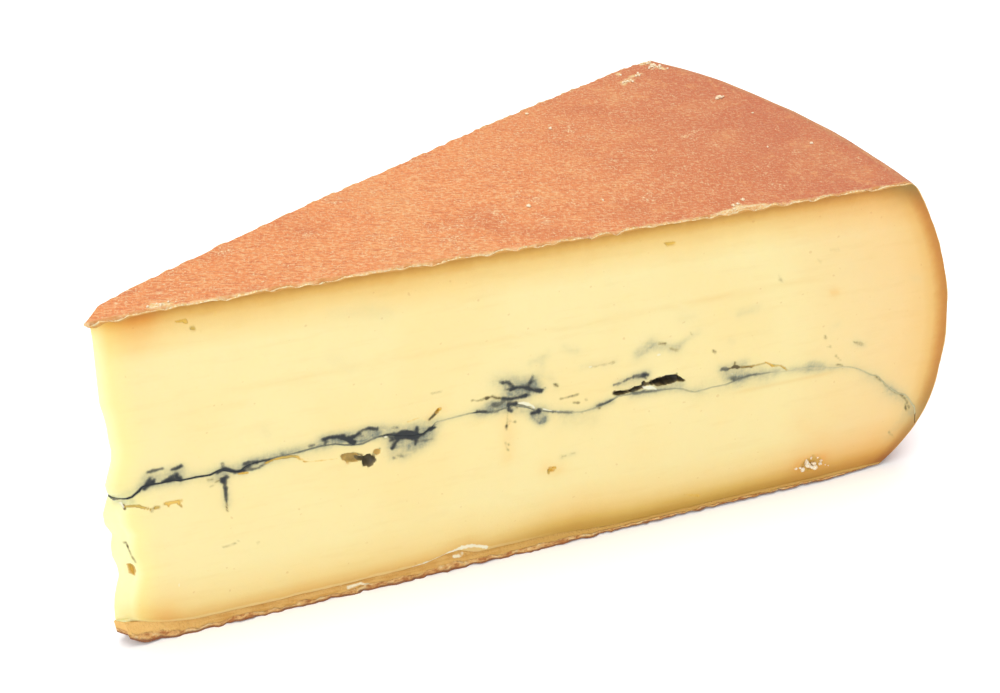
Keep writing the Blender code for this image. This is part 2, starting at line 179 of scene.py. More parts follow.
# Strokes of ash on the front cut, (how dark, half the width at the start and at the end, then the points as
# distance and height)
INK = (
    (0.75, 0.14, 0.10, (6.9, 37.5), (8.2, 37.6), (9.4, 37.6)),
    (0.90, 0.16, 0.26, (11.2, 37.0), (11.9, 37.1), (12.7, 37.3)),
    (0.95, 0.35, 0.30, (5.9, 34.2), (6.6, 34.7), (7.6, 35.1)),
    (0.85, 0.30, 0.12, (6.5, 34.9), (6.9, 35.6), (7.1, 36.3)),
    (0.80, 0.22, 0.14, (7.5, 35.0), (7.8, 35.6)),
    (0.90, 0.20, 0.34, (9.4, 34.8), (10.4, 34.9), (12.2, 34.7)),
    (0.85, 0.22, 0.22, (10.2, 35.0), (10.8, 35.5), (11.6, 35.6)),
    (0.95, 0.18, 0.20, (11.9, 36.0), (12.0, 35.0), (12.5, 34.4)),
    (1.00, 0.18, 0.26, (19.2, 34.4), (20.4, 34.9), (21.4, 34.4), (22.4, 33.8), (23.8, 33.7)),
    (0.60, 0.16, 0.05, (20.2, 35.1), (20.1, 36.1)),
    (0.90, 0.22, 0.12, (23.6, 33.8), (24.6, 34.4), (25.6, 34.8), (27.2, 35.0), (29.0, 34.9)),
    (0.80, 0.25, 0.10, (24.2, 35.1), (25.0, 35.3), (26.4, 35.0)),
    (0.65, 0.16, 0.10, (23.8, 33.6), (26.4, 33.6), (28.0, 34.3), (29.4, 34.9)),
    (0.60, 0.16, 0.05, (31.2, 35.3), (31.2, 35.9)),
    (0.95, 0.42, 0.34, (20.1, 32.6), (20.7, 33.0)),
    (0.85, 0.22, 0.10, (20.3, 32.4), (20.5, 30.0), (20.6, 27.6)),
    (0.65, 0.22, 0.12, (36.5, 36.1), (37.3, 36.1)),
    (0.95, 0.16, 0.30, (38.9, 36.9), (40.2, 37.1), (41.6, 36.9), (42.8, 36.4)),
    (0.80, 0.16, 0.16, (39.2, 37.0), (39.5, 36.4), (39.3, 35.7)),
    (1.00, 0.34, 0.50, (42.6, 36.4), (43.6, 35.9), (44.3, 35.3), (44.8, 34.9)),
    (1.00, 0.36, 0.20, (43.8, 35.9), (45.0, 36.2), (45.8, 36.6)),
    (0.80, 0.12, 0.12, (42.0, 37.0), (43.2, 36.9)),
    (0.75, 0.12, 0.14, (45.6, 36.8), (46.6, 37.3), (47.8, 37.3)),
    (0.90, 0.16, 0.24, (47.8, 37.3), (48.8, 37.0), (49.3, 36.9)),
    (0.50, 0.20, 0.20, (46.2, 36.1), (46.4, 35.9)),
    (0.85, 0.12, 0.24, (50.6, 35.0), (52.2, 35.1), (53.4, 34.8)),
    (1.00, 0.62, 0.85, (53.4, 34.2), (55.0, 34.2), (56.6, 33.7)),
    (1.00, 0.40, 0.40, (54.0, 34.8), (55.2, 34.7), (56.2, 34.3)),
    (0.95, 0.20, 0.36, (57.2, 35.3), (57.2, 34.2), (57.3, 33.4)),
    (0.90, 0.40, 0.12, (57.2, 33.2), (57.2, 32.4), (57.0, 31.6)),
    (0.95, 0.30, 0.18, (57.5, 33.4), (58.5, 33.5), (59.3, 34.0), (60.2, 34.3)),
    (0.95, 0.30, 0.20, (60.1, 34.4), (60.8, 34.5)),
    (0.95, 0.28, 0.34, (53.4, 33.3), (52.8, 32.5), (52.4, 31.8)),
    (0.75, 0.14, 0.14, (51.9, 33.6), (53.2, 33.8)),
    (0.80, 0.16, 0.16, (51.8, 34.6), (52.4, 34.0)),
    (0.50, 0.14, 0.05, (57.4, 32.2), (60.4, 32.0)),
    (0.45, 0.22, 0.12, (52.9, 29.5), (54.0, 29.9), (54.8, 29.2)),
    (0.45, 0.12, 0.12, (52.4, 36.4), (53.4, 36.2)),
    (0.90, 0.16, 0.14, (69.5, 36.2), (70.3, 36.0), (71.2, 35.8)),
    (0.55, 0.12, 0.12, (71.2, 35.7), (72.4, 35.4), (73.6, 35.3)),
    (0.85, 0.20, 0.24, (74.6, 41.5), (75.5, 41.3), (76.4, 40.6), (76.8, 39.9)),
    (0.60, 0.10, 0.16, (73.8, 41.8), (74.6, 41.5)),
    (0.70, 0.12, 0.20, (75.2, 39.9), (76.3, 39.7)),
    (0.95, 0.26, 0.26, (76.2, 39.5), (77.4, 39.9), (79.0, 39.5), (80.4, 38.9)),
    (0.98, 0.26, 0.36, (80.4, 38.8), (81.4, 38.3), (82.6, 38.0)),
    (0.45, 0.25, 0.10, (82.6, 38.0), (83.4, 38.4)),
    (0.70, 0.34, 0.16, (79.6, 39.6), (80.2, 40.4), (80.6, 41.6)),
    (0.60, 0.20, 0.14, (80.2, 40.3), (81.0, 40.6)),
    (0.95, 0.16, 0.30, (74.6, 38.0), (76.2, 37.5), (77.8, 37.5), (79.4, 37.7)),
    (0.75, 0.22, 0.10, (79.4, 37.6), (80.2, 37.6)),
    (0.60, 0.50, 0.30, (72.8, 36.9), (74.0, 36.8), (75.0, 37.4)),
    (0.90, 0.28, 0.30, (75.8, 36.5), (76.6, 36.3), (77.4, 36.1)),
    (0.85, 0.26, 0.20, (75.9, 36.0), (76.0, 35.2), (76.6, 34.7)),
    (0.55, 0.12, 0.10, (77.8, 35.9), (79.4, 35.2), (80.6, 34.8)),
    (1.00, 0.30, 0.28, (81.1, 33.3), (81.6, 33.2)),
    (1.00, 0.34, 0.30, (82.2, 33.5), (82.6, 33.3)),
    (0.60, 0.12, 0.10, (82.8, 33.7), (84.4, 32.8), (86.6, 32.3), (89.6, 31.5)),
    (0.75, 0.20, 0.16, (95.2, 31.8), (96.6, 31.9), (97.9, 32.3)),
    (0.40, 0.10, 0.10, (98.0, 32.3), (99.3, 33.1)),
    (0.60, 0.08, 0.16, (98.4, 35.9), (100.2, 36.1), (101.4, 36.6), (102.4, 36.8)),
    (0.66, 0.24, 0.34, (102.7, 36.9), (104.0, 36.8), (105.2, 37.0)),
    (0.80, 0.14, 0.20, (104.6, 37.1), (105.8, 36.6)),
    (0.60, 0.10, 0.20, (104.8, 36.4), (105.4, 36.0)),
    (0.55, 0.30, 0.12, (103.0, 33.0), (105.0, 32.8), (108.0, 32.5)),
    (0.70, 0.30, 0.25, (123.0, 34.4), (124.2, 34.1)),
    (0.55, 0.36, 0.28, (125.6, 31.7), (126.8, 31.3)),
    (0.60, 0.14, 0.08, (127.2, 31.2), (129.6, 31.5), (132.6, 31.3)),
)

# Olive-brown strokes, given in the same way
OLIVE = (
    (0.90, 0.30, 0.04, (20.4, 32.6), (20.5, 29.0), (20.6, 25.6)),
    (0.60, 0.12, 0.20, (18.8, 32.4), (20.0, 32.9)),
    (0.45, 0.16, 0.06, (17.4, 33.2), (18.4, 33.1)),
    (0.35, 0.12, 0.06, (17.8, 31.6), (18.6, 31.9)),
    (0.80, 0.26, 0.16, (1.6, 31.0), (1.9, 30.4)),
    (0.70, 0.14, 0.10, (7.0, 29.1), (7.5, 29.7)),
    (0.85, 0.14, 0.26, (59.8, 36.6), (60.7, 37.4), (61.4, 38.3)),
    (0.60, 0.10, 0.22, (68.2, 38.9), (69.6, 38.6), (71.4, 38.8)),
    (0.75, 0.26, 0.14, (71.4, 38.8), (72.4, 38.9), (73.4, 38.3), (75.2, 37.8)),
    (0.70, 0.22, 0.22, (75.9, 36.7), (77.4, 36.4)),
    (0.60, 0.14, 0.14, (77.2, 35.8), (77.8, 35.2)),
    (0.65, 0.22, 0.14, (85.4, 38.9), (86.1, 38.3)),
    (0.55, 0.10, 0.20, (86.9, 35.2), (89.0, 35.3), (90.5, 35.4)),
    (0.60, 0.20, 0.14, (90.0, 33.6), (90.9, 33.4)),
    (0.40, 0.12, 0.12, (92.3, 34.0), (92.6, 33.6)),
    (0.40, 0.12, 0.10, (93.1, 41.2), (95.0, 41.1), (98.0, 41.2)),
    (0.45, 0.10, 0.10, (75.8, 34.4), (75.8, 31.6)),
    (0.70, 0.10, 0.20, (75.7, 31.6), (75.8, 31.0)),
    (0.55, 0.18, 0.18, (77.4, 32.2), (77.6, 32.0)),
    (0.35, 0.12, 0.12, (76.5, 32.5), (76.6, 32.3)),
    (0.60, 0.16, 0.16, (76.4, 27.1), (76.5, 26.9)),
    (0.60, 0.16, 0.16, (76.1, 26.1), (76.3, 25.9)),
    (0.40, 0.12, 0.12, (75.7, 27.5), (75.8, 27.3)),
    (0.70, 0.16, 0.16, (95.5, 31.3), (95.7, 31.1)),
    (0.80, 0.12, 0.14, (42.6, 31.9), (43.5, 32.5), (45.0, 32.5), (46.4, 31.7)),
    (0.60, 0.24, 0.16, (48.6, 31.0), (49.0, 31.9), (49.9, 32.3)),
    (0.95, 0.40, 0.30, (98.7, 34.0), (99.2, 33.7), (100.0, 33.7), (101.6, 33.7)),
    (0.95, 0.14, 0.42, (101.8, 33.7), (103.2, 33.8), (104.8, 34.2)),
    (0.90, 0.30, 0.14, (105.0, 34.4), (105.0, 35.3)),
    (0.90, 0.22, 0.28, (105.2, 34.7), (106.2, 34.5), (107.0, 34.8)),
    (0.98, 0.40, 0.50, (106.8, 34.8), (108.6, 35.1), (111.6, 34.9)),
    (0.95, 0.70, 0.55, (108.4, 34.2), (110.6, 34.3), (112.2, 34.5)),
    (0.95, 0.45, 0.12, (112.2, 34.5), (113.3, 33.8), (114.2, 33.6)),
    (0.60, 0.10, 0.10, (112.2, 35.3), (112.4, 35.6)),
    (0.60, 0.20, 0.20, (107.6, 43.4), (109.0, 43.2)),
    (0.50, 0.14, 0.20, (110.2, 41.9), (111.2, 41.4), (112.0, 41.1)),
    (0.65, 0.22, 0.12, (114.8, 44.4), (116.2, 44.5)),
    (0.60, 0.22, 0.14, (120.3, 39.2), (120.8, 38.8)),
    (0.90, 0.16, 0.26, (124.4, 34.1), (125.4, 34.3), (126.4, 34.2)),
    (0.85, 0.22, 0.08, (125.7, 34.4), (125.8, 35.5)),
    (0.75, 0.20, 0.10, (126.4, 34.1), (128.4, 33.8), (130.0, 33.5)),
    (0.60, 0.10, 0.06, (128.6, 33.8), (131.0, 33.6), (133.2, 33.8)),
    (0.50, 0.08, 0.08, (134.6, 32.9), (136.8, 32.4), (138.6, 31.0)),
    (0.70, 0.26, 0.14, (133.3, 53.4), (134.2, 53.0)),
    (0.35, 0.26, 0.20, (142.2, 55.2), (142.9, 55.2)),
    (0.25, 0.16, 0.16, (144.6, 57.8), (146.8, 57.6)),
    (0.55, 0.26, 0.16, (146.8, 37.3), (147.1, 36.8)),
    (0.45, 0.16, 0.12, (148.3, 34.6), (148.9, 34.3)),
    (0.40, 0.16, 0.12, (150.3, 32.0), (151.0, 31.3), (151.6, 30.6)),
    (0.55, 0.16, 0.10, (151.3, 29.6), (152.5, 29.1)),
    (0.45, 0.16, 0.20, (154.7, 34.3), (155.9, 33.8), (156.8, 33.4)),
    (0.35, 0.10, 0.06, (155.6, 34.6), (155.9, 33.0)),
    (0.55, 0.22, 0.14, (161.6, 24.7), (163.2, 23.2)),
    (0.45, 0.10, 0.22, (164.4, 22.0), (167.4, 19.4), (169.6, 18.2)),
    (0.60, 0.24, 0.14, (169.6, 18.2), (171.2, 16.4), (172.4, 14.2)),
    (0.75, 0.24, 0.16, (171.4, 14.8), (171.9, 13.6)),
    (0.45, 0.14, 0.08, (168.2, 8.8), (169.8, 7.0)),
    (0.70, 0.18, 0.12, (-0.4, 23.2), (0.9, 22.9), (1.6, 22.0)),
    (0.60, 0.12, 0.08, (1.6, 22.0), (2.4, 19.8), (3.2, 18.0)),
    (0.40, 0.16, 0.10, (19.6, 17.6), (21.0, 17.6), (22.4, 18.2)),
    (0.30, 0.14, 0.14, (26.0, 16.9), (26.3, 17.1)),
    (0.35, 0.14, 0.10, (88.2, 21.3), (91.0, 21.6)),
    (0.40, 0.16, 0.14, (60.0, 42.3), (61.9, 42.3)),
)

# Golden cracks and small stains
CRACK = (
    (0.95, 0.14, 0.24, (1.8, 30.8), (3.2, 30.9), (4.6, 30.6)),
    (0.90, 0.24, 0.08, (4.6, 30.6), (5.6, 30.1), (6.9, 29.4)),
    (0.95, 0.12, 0.26, (7.5, 29.5), (8.4, 29.7), (10.0, 29.9)),
    (0.95, 0.28, 0.18, (10.0, 29.9), (11.4, 30.1), (12.7, 30.2)),
    (0.85, 0.16, 0.06, (9.8, 29.8), (10.2, 29.2)),
    (0.90, 0.22, 0.08, (11.4, 30.0), (12.0, 29.3), (12.5, 28.4)),
    (0.80, 0.10, 0.22, (23.0, 33.2), (24.6, 33.1)),
    (0.95, 0.10, 0.22, (28.0, 34.3), (29.6, 34.8), (31.2, 34.9)),
    (0.95, 0.24, 0.16, (31.2, 34.8), (33.0, 34.7), (34.0, 34.4)),
    (0.75, 0.12, 0.08, (34.0, 34.4), (35.3, 32.9)),
    (0.50, 0.08, 0.06, (35.3, 32.9), (37.2, 32.5), (41.6, 32.1)),
    (0.90, 0.24, 0.28, (61.2, 38.0), (61.7, 38.5)),
    (0.40, 0.14, 0.08, (55.4, 37.0), (57.6, 37.4)),
    (0.50, 0.10, 0.08, (127.6, 33.9), (130.4, 33.6), (133.2, 33.9)),
    (0.75, 0.14, 0.20, (133.2, 33.9), (134.2, 33.3), (135.0, 32.6)),
    (0.60, 0.10, 0.12, (135.0, 32.6), (136.8, 32.4), (138.0, 31.5)),
    (0.60, 0.12, 0.06, (138.0, 31.5), (138.8, 30.7)),
    (0.90, 0.10, 0.32, (13.2, 66.7), (14.8, 66.5)),
    (0.70, 0.16, 0.08, (14.8, 66.7), (15.2, 66.1)),
    (0.50, 0.10, 0.10, (10.6, 66.4), (11.4, 66.5)),
    (0.75, 0.12, 0.12, (15.7, 65.0), (17.4, 64.2)),
    (0.85, 0.12, 0.16, (106.4, 65.6), (107.6, 65.6), (109.4, 65.1)),
    (0.45, 0.20, 0.20, (19.9, 66.9), (20.1, 67.0)),
    (0.50, 0.16, 0.16, (82.2, 63.0), (82.3, 62.8)),
    (0.60, 0.20, 0.14, (144.8, 64.0), (145.2, 63.4)),
    (0.95, 0.50, 0.24, (1.7, 16.9), (2.3, 15.6)),
    (0.90, 0.42, 0.16, (85.6, 18.5), (86.9, 19.0)),
    (0.45, 0.12, 0.34, (117.6, 4.8), (119.6, 4.2), (121.2, 3.6)),
)

# Pale places: crumbly pale specks, and painted highlights on wet, glossy spots and along the lip's top edge
PALE_AND_GLINTS = (
    (0.80, 0.16, 0.34, (78.0, 36.2), (79.0, 36.0), (80.0, 35.5)),
    (0.75, 0.34, 0.12, (80.0, 35.5), (80.9, 34.9), (81.5, 34.3)),
    (0.85, 0.12, 0.16, (83.2, 33.7), (84.2, 33.3), (85.1, 32.8)),
    (0.80, 0.14, 0.12, (86.3, 32.5), (86.9, 32.4)),
    (0.75, 0.20, 0.42, (105.2, 33.9), (106.4, 33.6)),
    (0.75, 0.42, 0.16, (106.4, 33.6), (107.4, 33.3), (108.0, 32.9)),
    (0.90, 0.20, 0.16, (0.7, 31.7), (1.6, 30.7)),
    (0.70, 0.16, 0.16, (92.8, 41.3), (93.0, 41.3)),
    (0.80, 0.30, 0.26, (107.7, 40.9), (107.9, 40.9)),
    (0.80, 0.22, 0.18, (51.0, 34.7), (51.3, 34.6)),
    (0.80, 0.20, 0.14, (10.8, 10.9), (11.0, 11.1)),
    (0.50, 0.16, 0.16, (125.0, 33.0), (125.6, 32.6)),
    (0.90, 0.12, 0.34, (57.0, 2.6), (61.0, 3.0), (65.0, 4.1), (67.6, 4.6)),
    (0.95, 0.34, 0.30, (67.6, 4.6), (69.4, 4.5), (71.4, 3.8), (72.8, 3.2)),
)
# and painted highlights on the side of the bottom rind, below the lip
GLINT = (
    (0.95, 0.30, 0.28, (65.6, 3.0), (67.8, 2.8)),
    (0.95, 0.36, 0.30, (71.2, 3.2), (72.4, 2.7)),
    (0.80, 0.30, 0.26, (43.4, 1.4), (46.6, 1.7)),
    (0.70, 0.20, 0.16, (47.2, 1.3), (48.2, 1.0)),
)

# Soft grey clouds of ash, (how dark, half its width, softness, then its points)
SMOKE = (
    (0.35, 0.2, 1.3, (-0.6, 33.0), (6, 34.6), (14, 34.5), (26, 34.8), (40, 35.6)),
    (0.32, 0.5, 1.0, (6.6, 36.0), (12.4, 36.2)),
    (0.45, 0.5, 0.7, (0.6, 32.2), (3.2, 31.8)),
    (0.35, 0.1, 0.8, (20.5, 33.0), (20.6, 26.5)),
    (0.40, 0.4, 0.6, (18.0, 33.0), (20.0, 33.8)),
    (0.40, 0.2, 1.0, (26.0, 35.4), (34.0, 35.9)),
    (0.55, 0.5, 0.5, (40.0, 36.3), (42.4, 36.0)),
    (0.85, 0.9, 0.5, (46.0, 35.6), (48.8, 35.8)),
    (0.45, 0.5, 1.0, (38.6, 36.4), (50.0, 36.6)),
    (0.62, 1.0, 1.2, (53.4, 32.8), (58.0, 32.4)),
    (0.50, 0.8, 1.2, (56.5, 31.2), (59.6, 32.8)),
    (0.35, 0.6, 1.2, (51.5, 35.6), (60.5, 35.6)),
    (0.30, 0.4, 1.0, (52.5, 29.8), (55.0, 29.6)),
    (0.22, 0.1, 0.8, (61.0, 35.7), (70.0, 36.0)),
    (0.60, 0.7, 0.9, (72.2, 37.0), (75.6, 36.8)),
    (0.45, 0.5, 0.9, (70.0, 35.6), (77.0, 35.6)),
    (0.70, 0.7, 0.9, (76.2, 38.8), (81.0, 38.7)),
    (0.55, 0.6, 1.0, (75.6, 40.6), (80.6, 40.4)),
    (0.30, 0.6, 1.6, (73.0, 42.2), (77.0, 41.6)),
    (0.90, 0.8, 0.7, (82.0, 32.6), (83.2, 31.2)),
    (0.35, 0.4, 1.2, (79.0, 34.4), (84.0, 33.0)),
    (0.22, 0.5, 1.6, (88.5, 29.6), (94.5, 28.6)),
    (0.35, 0.1, 0.6, (95.3, 31.7), (98.2, 32.4)),
    (0.32, 0.1, 0.9, (87.0, 31.9), (90.0, 31.1), (94.0, 31.2), (98.0, 32.0)),
    (0.25, 0.2, 0.8, (80.0, 44.8), (83.4, 45.9)),
    (0.25, 0.2, 0.8, (86.8, 46.6), (89.6, 45.4)),
    (0.18, 0.3, 0.8, (82.5, 44.4), (82.5, 41.6)),
    (0.20, 0.3, 0.8, (91.2, 41.6), (98.0, 41.2)),
    (0.20, 0.2, 0.8, (84.2, 41.0), (86.0, 38.2)),
    (0.22, 0.2, 0.7, (88.0, 21.2), (91.0, 21.5)),
    (0.55, 0.6, 1.0, (103.4, 42.2), (105.4, 43.4)),
    (0.40, 0.4, 1.0, (106.4, 43.4), (112.0, 41.4)),
    (0.30, 0.2, 0.7, (111.6, 42.0), (114.0, 43.4), (116.4, 44.4)),
    (0.36, 0.4, 0.8, (99.8, 36.3), (105.6, 36.8)),
    (0.20, 0.7, 0.8, (100.0, 35.0), (104.0, 35.2)),
    (0.45, 0.5, 0.8, (103.0, 33.2), (113.5, 32.9)),
    (0.30, 0.3, 0.9, (103.0, 32.8), (110.0, 32.2), (114.0, 31.4), (118.0, 30.2)),
    (0.14, 0.4, 1.2, (112.0, 48.4), (114.6, 48.2)),
    (0.26, 0.3, 0.9, (125.2, 47.0), (129.2, 47.2)),
    (0.45, 0.6, 0.8, (125.4, 31.9), (127.4, 31.4)),
    (0.30, 0.9, 0.8, (124.4, 32.9), (131.0, 32.6)),
    (0.35, 0.3, 1.0, (127.0, 31.4), (136.0, 31.2)),
    (0.35, 0.4, 1.0, (122.6, 34.4), (128.0, 34.9)),
    (0.22, 1.0, 1.8, (119.0, 30.6), (134.0, 30.0)),
    (0.25, 0.3, 1.2, (134.0, 31.0), (144.0, 30.6)),
    (0.46, 0.8, 0.9, (144.6, 30.6), (146.8, 29.9)),
    (0.25, 0.3, 1.0, (140.0, 30.6), (150.0, 29.0)),
    (0.26, 0.1, 1.1, (150.0, 28.9), (156.0, 27.8), (160.0, 25.2), (164.9, 21.6), (167.5, 19.4)),
    (0.36, 0.3, 1.2, (166.0, 20.2), (169.0, 18.4), (171.4, 15.8), (173.6, 12.4)),
    (0.14, 0.6, 2.4, (160.0, 24.6), (167.0, 18.6), (172.0, 13.0)),
    (0.30, 0.3, 0.8, (154.9, 34.2), (157.2, 33.1)),
    (0.20, 0.5, 1.6, (168.0, 8.0), (171.0, 11.0)),
    (0.16, 0.2, 0.8, (148.6, 39.4), (149.6, 39.6)),
    (0.16, 0.2, 0.8, (123.8, 41.0), (124.6, 40.4)),
    (0.14, 0.6, 1.4, (41.0, 63.2), (44.0, 62.6)),
    (0.16, 0.6, 1.4, (47.0, 62.4), (51.0, 61.0)),
    (0.12, 0.6, 1.2, (40.5, 54.0), (44.0, 51.0)),
    (0.14, 0.3, 0.9, (28.0, 41.6), (28.6, 40.4)),
    (0.16, 0.4, 0.8, (166.6, 47.4), (167.8, 47.0)),
)

# Orange blushes in the paste, given like the clouds
BLUSH = (
    (0.80, 0.8, 2.2, (-1.0, 69.4), (7.5, 69.0)),
    (0.22, 1.0, 3.0, (3.0, 66.0), (6.5, 64.5)),
    (0.35, 0.8, 2.4, (1.0, 6.6), (8.0, 5.2)),
    (0.22, 0.5, 1.4, (75.8, 34.0), (76.4, 24.0)),
    (0.25, 0.4, 1.4, (85.0, 19.5), (87.4, 18.4)),
    (0.35, 0.3, 0.6, (147.0, 47.6), (147.6, 47.4)),
    (0.45, 1.0, 1.3, (146.0, 5.6), (151.0, 5.6)),
    (0.12, 0.5, 1.8, (144.0, 16.0), (150.0, 12.0)),
    (0.20, 0.2, 0.8, (59.4, 36.8), (62.0, 38.6)),
)

# Darker olive in the paste towards the heel's lower and top corners, (how dark, height, how far they reach from
# the heel, and up and down)
HEEL_OLIVE = ((0.62, 12.0, 3.6, 9.0), (0.85, WHEEL_HEIGHT, 7.0, 4.5))

# Openings in the front cut, (distance, height, length, how tall, depth, tilt in degrees, how dark inside)
OPENINGS = (
    (44.4, 31.6, 4.0, 2.2, 0.7, -22, 0.30), (47.8, 30.2, 2.6, 2.8, 1.5, 15, 0.85),
    (46.3, 31.0, 1.8, 1.0, 0.8, -20, 0.7), (49.4, 31.7, 1.5, 1.5, 0.4, 0, 0.25),
    (61.4, 38.1, 1.5, 0.7, 0.5, 60, 0.3), (100.1, 33.7, 3.3, 0.9, 1.0, -6, 0.9),
    (103.4, 33.9, 3.2, 1.0, 1.2, 10, 1.0), (105.1, 34.7, 0.9, 1.4, 0.7, 0, 0.9),
    (108.2, 34.7, 3.6, 1.3, 1.6, 6, 1.0), (110.6, 34.5, 5.2, 2.1, 2.0, -4, 0.95),
    (113.4, 34.0, 2.2, 0.7, 0.8, -30, 0.9), (86.1, 18.7, 2.0, 1.1, 0.4, -16, 0.0),
    (148.9, 5.0, 5.4, 3.4, 0.7, 5, 0.0), (2.0, 16.5, 1.8, 2.4, 0.6, 30, 0.1),
)

# Bare pale places on the top rind, (half its width, then its points seen from above)
BARE = (
    (0.6, (117.4, 0.2), (121.0, 0.6), (124.4, 0.8), (127.8, 0.3)), (0.3, (121.8, 2.2), (123.4, 2.5)),
    (0.25, (124.8, 3.6), (125.4, 4.0)), (0.7, (10.0, 0.9), (12.6, 0.8)),
    (0.7, (129.4, 62.6), (132.4, 64.0)), (0.6, (133.0, 65.0), (136.2, 66.2)),
    (0.4, (130.6, 67.2), (131.2, 67.8)), (0.7, (138.6, 71.2), (140.6, 72.0)),
    (0.6, (141.0, 69.6), (142.4, 67.6)), (0.4, (139.6, 68.2), (141.0, 70.6)),
)
CRUMB_SPOTS = (
    (84.8, 14.6, 0.45), (102.2, 53.4, 0.40), (103.6, 45.0, 0.42), (103.9, 45.5, 0.30), (152.4, 22.2, 0.36),
    (146.3, 49.2, 0.75), (145.4, 48.8, 0.45), (147.2, 49.4, 0.40), (99.2, 12.4, 0.25), (142.6, 23.4, 0.25),
    (148.8, 39.6, 0.28),
)

# Salt crystals in the pit near the heel, (distance, height, radius)
SALT = (
    (152.6, 3.9, 0.2), (153.4, 3.5, 0.175), (150.4, 6.2, 0.275), (147.4, 6.4, 0.2), (148.0, 4.9, 0.775),
    (148.9, 4.2, 0.75), (149.8, 4.0, 0.825), (146.9, 3.9, 0.625), (147.7, 5.7, 0.5), (149.6, 4.9, 0.525),
    (151.3, 4.5, 0.45), (151.4, 5.2, 0.35), (148.7, 6.5, 0.375), (146.1, 4.6, 0.375), (145.0, 4.7, 0.325),
)
SALT_SUNK = 0.3  # share of the pit's depth at which they lie

# Faint level marks of the knife, (height, slope, softness, where it fades in and where it fades out)
KNIFE_MARKS = ((51.2, 0.004, 0.55, (16, 30), (130, 156)), (27.9, 0.0, 0.5, (124, 130), (148, 153)))

FAR = 60.0  # stands for any distance at which a mark has no effect
MARK_REACH = 12.0  # distances kept for the rind's marks go no further
TOP_REACH = 158.6  # crumbs on the top lie this close to the axis,
FRONT_CLEAR = 0.6  # this far in from the front cut
BACK_CLEAR = 1.0  # and from the back cut
NEAT_REACH = 112.0  # up to here the back cut's edge is frayed less
FRAY_REACH = 0.7  # how far in from a cut the top rind is frayed,
FRINGE_RISE = 0.14  # how far it rises there,
FRINGE_WAVE = 0.34  # how much its scallops add,
FRINGE_LOWEST = -0.7  # where they are cut off below
BACK_FRINGE = 0.35  # and what share of all that the back cut has
DROOP = 0.5  # how far the fringe hangs over the cut
SOLE_EDGE = 1.5  # how far in from a cut the underside is lifted
LIP_OUT = 0.14  # how far the paste's lower lip stands out of a cut,
LIP_ABOVE = 0.25  # how far above its edge,
LIP_SOFT = 0.35  # how softly
LIP_END = (75, 72)  # and between which distances it dies out
MOST_OUT_LOW = 1.18  # how far the bottom rind and the rest of the rind may stand out of the front cut
MOST_OUT = 0.74
MOST_IN = -0.7  # the same for how far it may be drawn in

# The paste's faces: (column, distance) along the cuts, finest where they are marked, and (row, height) off
# the ash
CUT_STATIONS = (
    (0, 0.0), (125, 30.0), (140, 38.0), (240, 62.0), (250, 66.0), (362, 93.0), (375, 98.0), (445, 115.0),
    (463, 122.0), (520, 139.0), (580, WHEEL_RADIUS),
)
UPPER_ROWS = ((0, 0.0), (22, 4.4), (42, 12.0), (62, 31.0), (70, 34.5))
LOWER_ROWS = ((0, 0.0), (20, 4.0), (42, 17.0), (52, 26.0), (70, 31.5))
PASTE_ACROSS = 8
ASH_ACROSS = 16
RIND_TOP_STEPS = 330
RIND_EDGE_STEPS = 6
RIND_HEEL_STEPS = 110
RIND_BASE_STEPS = 200
RIND_ACROSS = 56
RIND_LAYERS = 6
EDGE_OFFSETS = (0.0, 0.25, 0.6, 1.1, 1.8, 2.8)  # the first columns of the rind, beside a cut

# The camera, placed from the wheel's axis, and the two lamps, in metres, which are turned to one spot
CAMERA_PLACE = (-43.498, -245.252, 213.472)
CAMERA_HEADING = math.radians(25.49)
CAMERA_PITCH = math.radians(31.08)
CAMERA_ROLL = math.radians(3.12)
CAMERA_LENS = 61.72
LIT_SPOT = (0, 0, 0.03)
KEY_PLACE = (-0.9, -0.75, 0.9)
KEY_SIZE = 0.9
KEY_COLOUR = (1.0, 0.99, 0.97)
TOP_PLACE = (0.1, 0.2, 1.3)
TOP_SIZE = 1.2
TOP_COLOUR = (1.0, 1.0, 1.0)


# Where the rind's corners lie: their shares of the way along, across and out through the skin, their height
# and distance from the axis, their zone, which cut they are on (1 front, -1 back, 0 none) and how far from one
RindSpots = namedtuple("RindSpots", "along across out height reach zone side from_cut")
ON_TOP, ON_HEEL, ON_BASE = 0, 1, 2


# ---------------------------------------------------------------- shapes


def follow(points, position):
    """The second value of a list of pairs at each position, on straight lines between them."""
    starts, values = zip(*points)
    return np.interp(position, starts, values)


def smooth_follow(points, position, width):
    """The same with its corners rounded over a width."""
    shifts = np.linspace(-0.5, 0.5, 5) * width
    return sum(follow(points, position + shift) for shift in shifts) / len(shifts)


def wander(pitch, x, y=0.0, z=0.0):
    """Smooth unevenness between about -1 and 1, with one course for each pitch."""
    places = np.stack(np.broadcast_arrays(x, y, z), -1).reshape(-1, 3) / pitch + 0.37 * pitch
    return np.array([noise.noise(place) for place in places.tolist()])


def ripple(position, pitch, channel):
    """The solid's own unevenness along a line; each channel has its own course."""
    places = np.asarray(position, float) / pitch
    return 1.6 * np.array([noise.noise((place, channel * 7.3, channel * 3.1)) for place in places.tolist()])


def ripples(position, rows, lowest=-math.inf):
    """Ripples added up, each cut off below a lowest value."""
    return sum(high * np.maximum(lowest, ripple(position, pitch, channel)) for high, pitch, channel in rows)


def smooth_step(low, high, value):
    """0 below low, 1 above high and smooth between."""
    share = np.clip((value - low) / (high - low), 0, 1)
    return share * share * (3 - 2 * share)


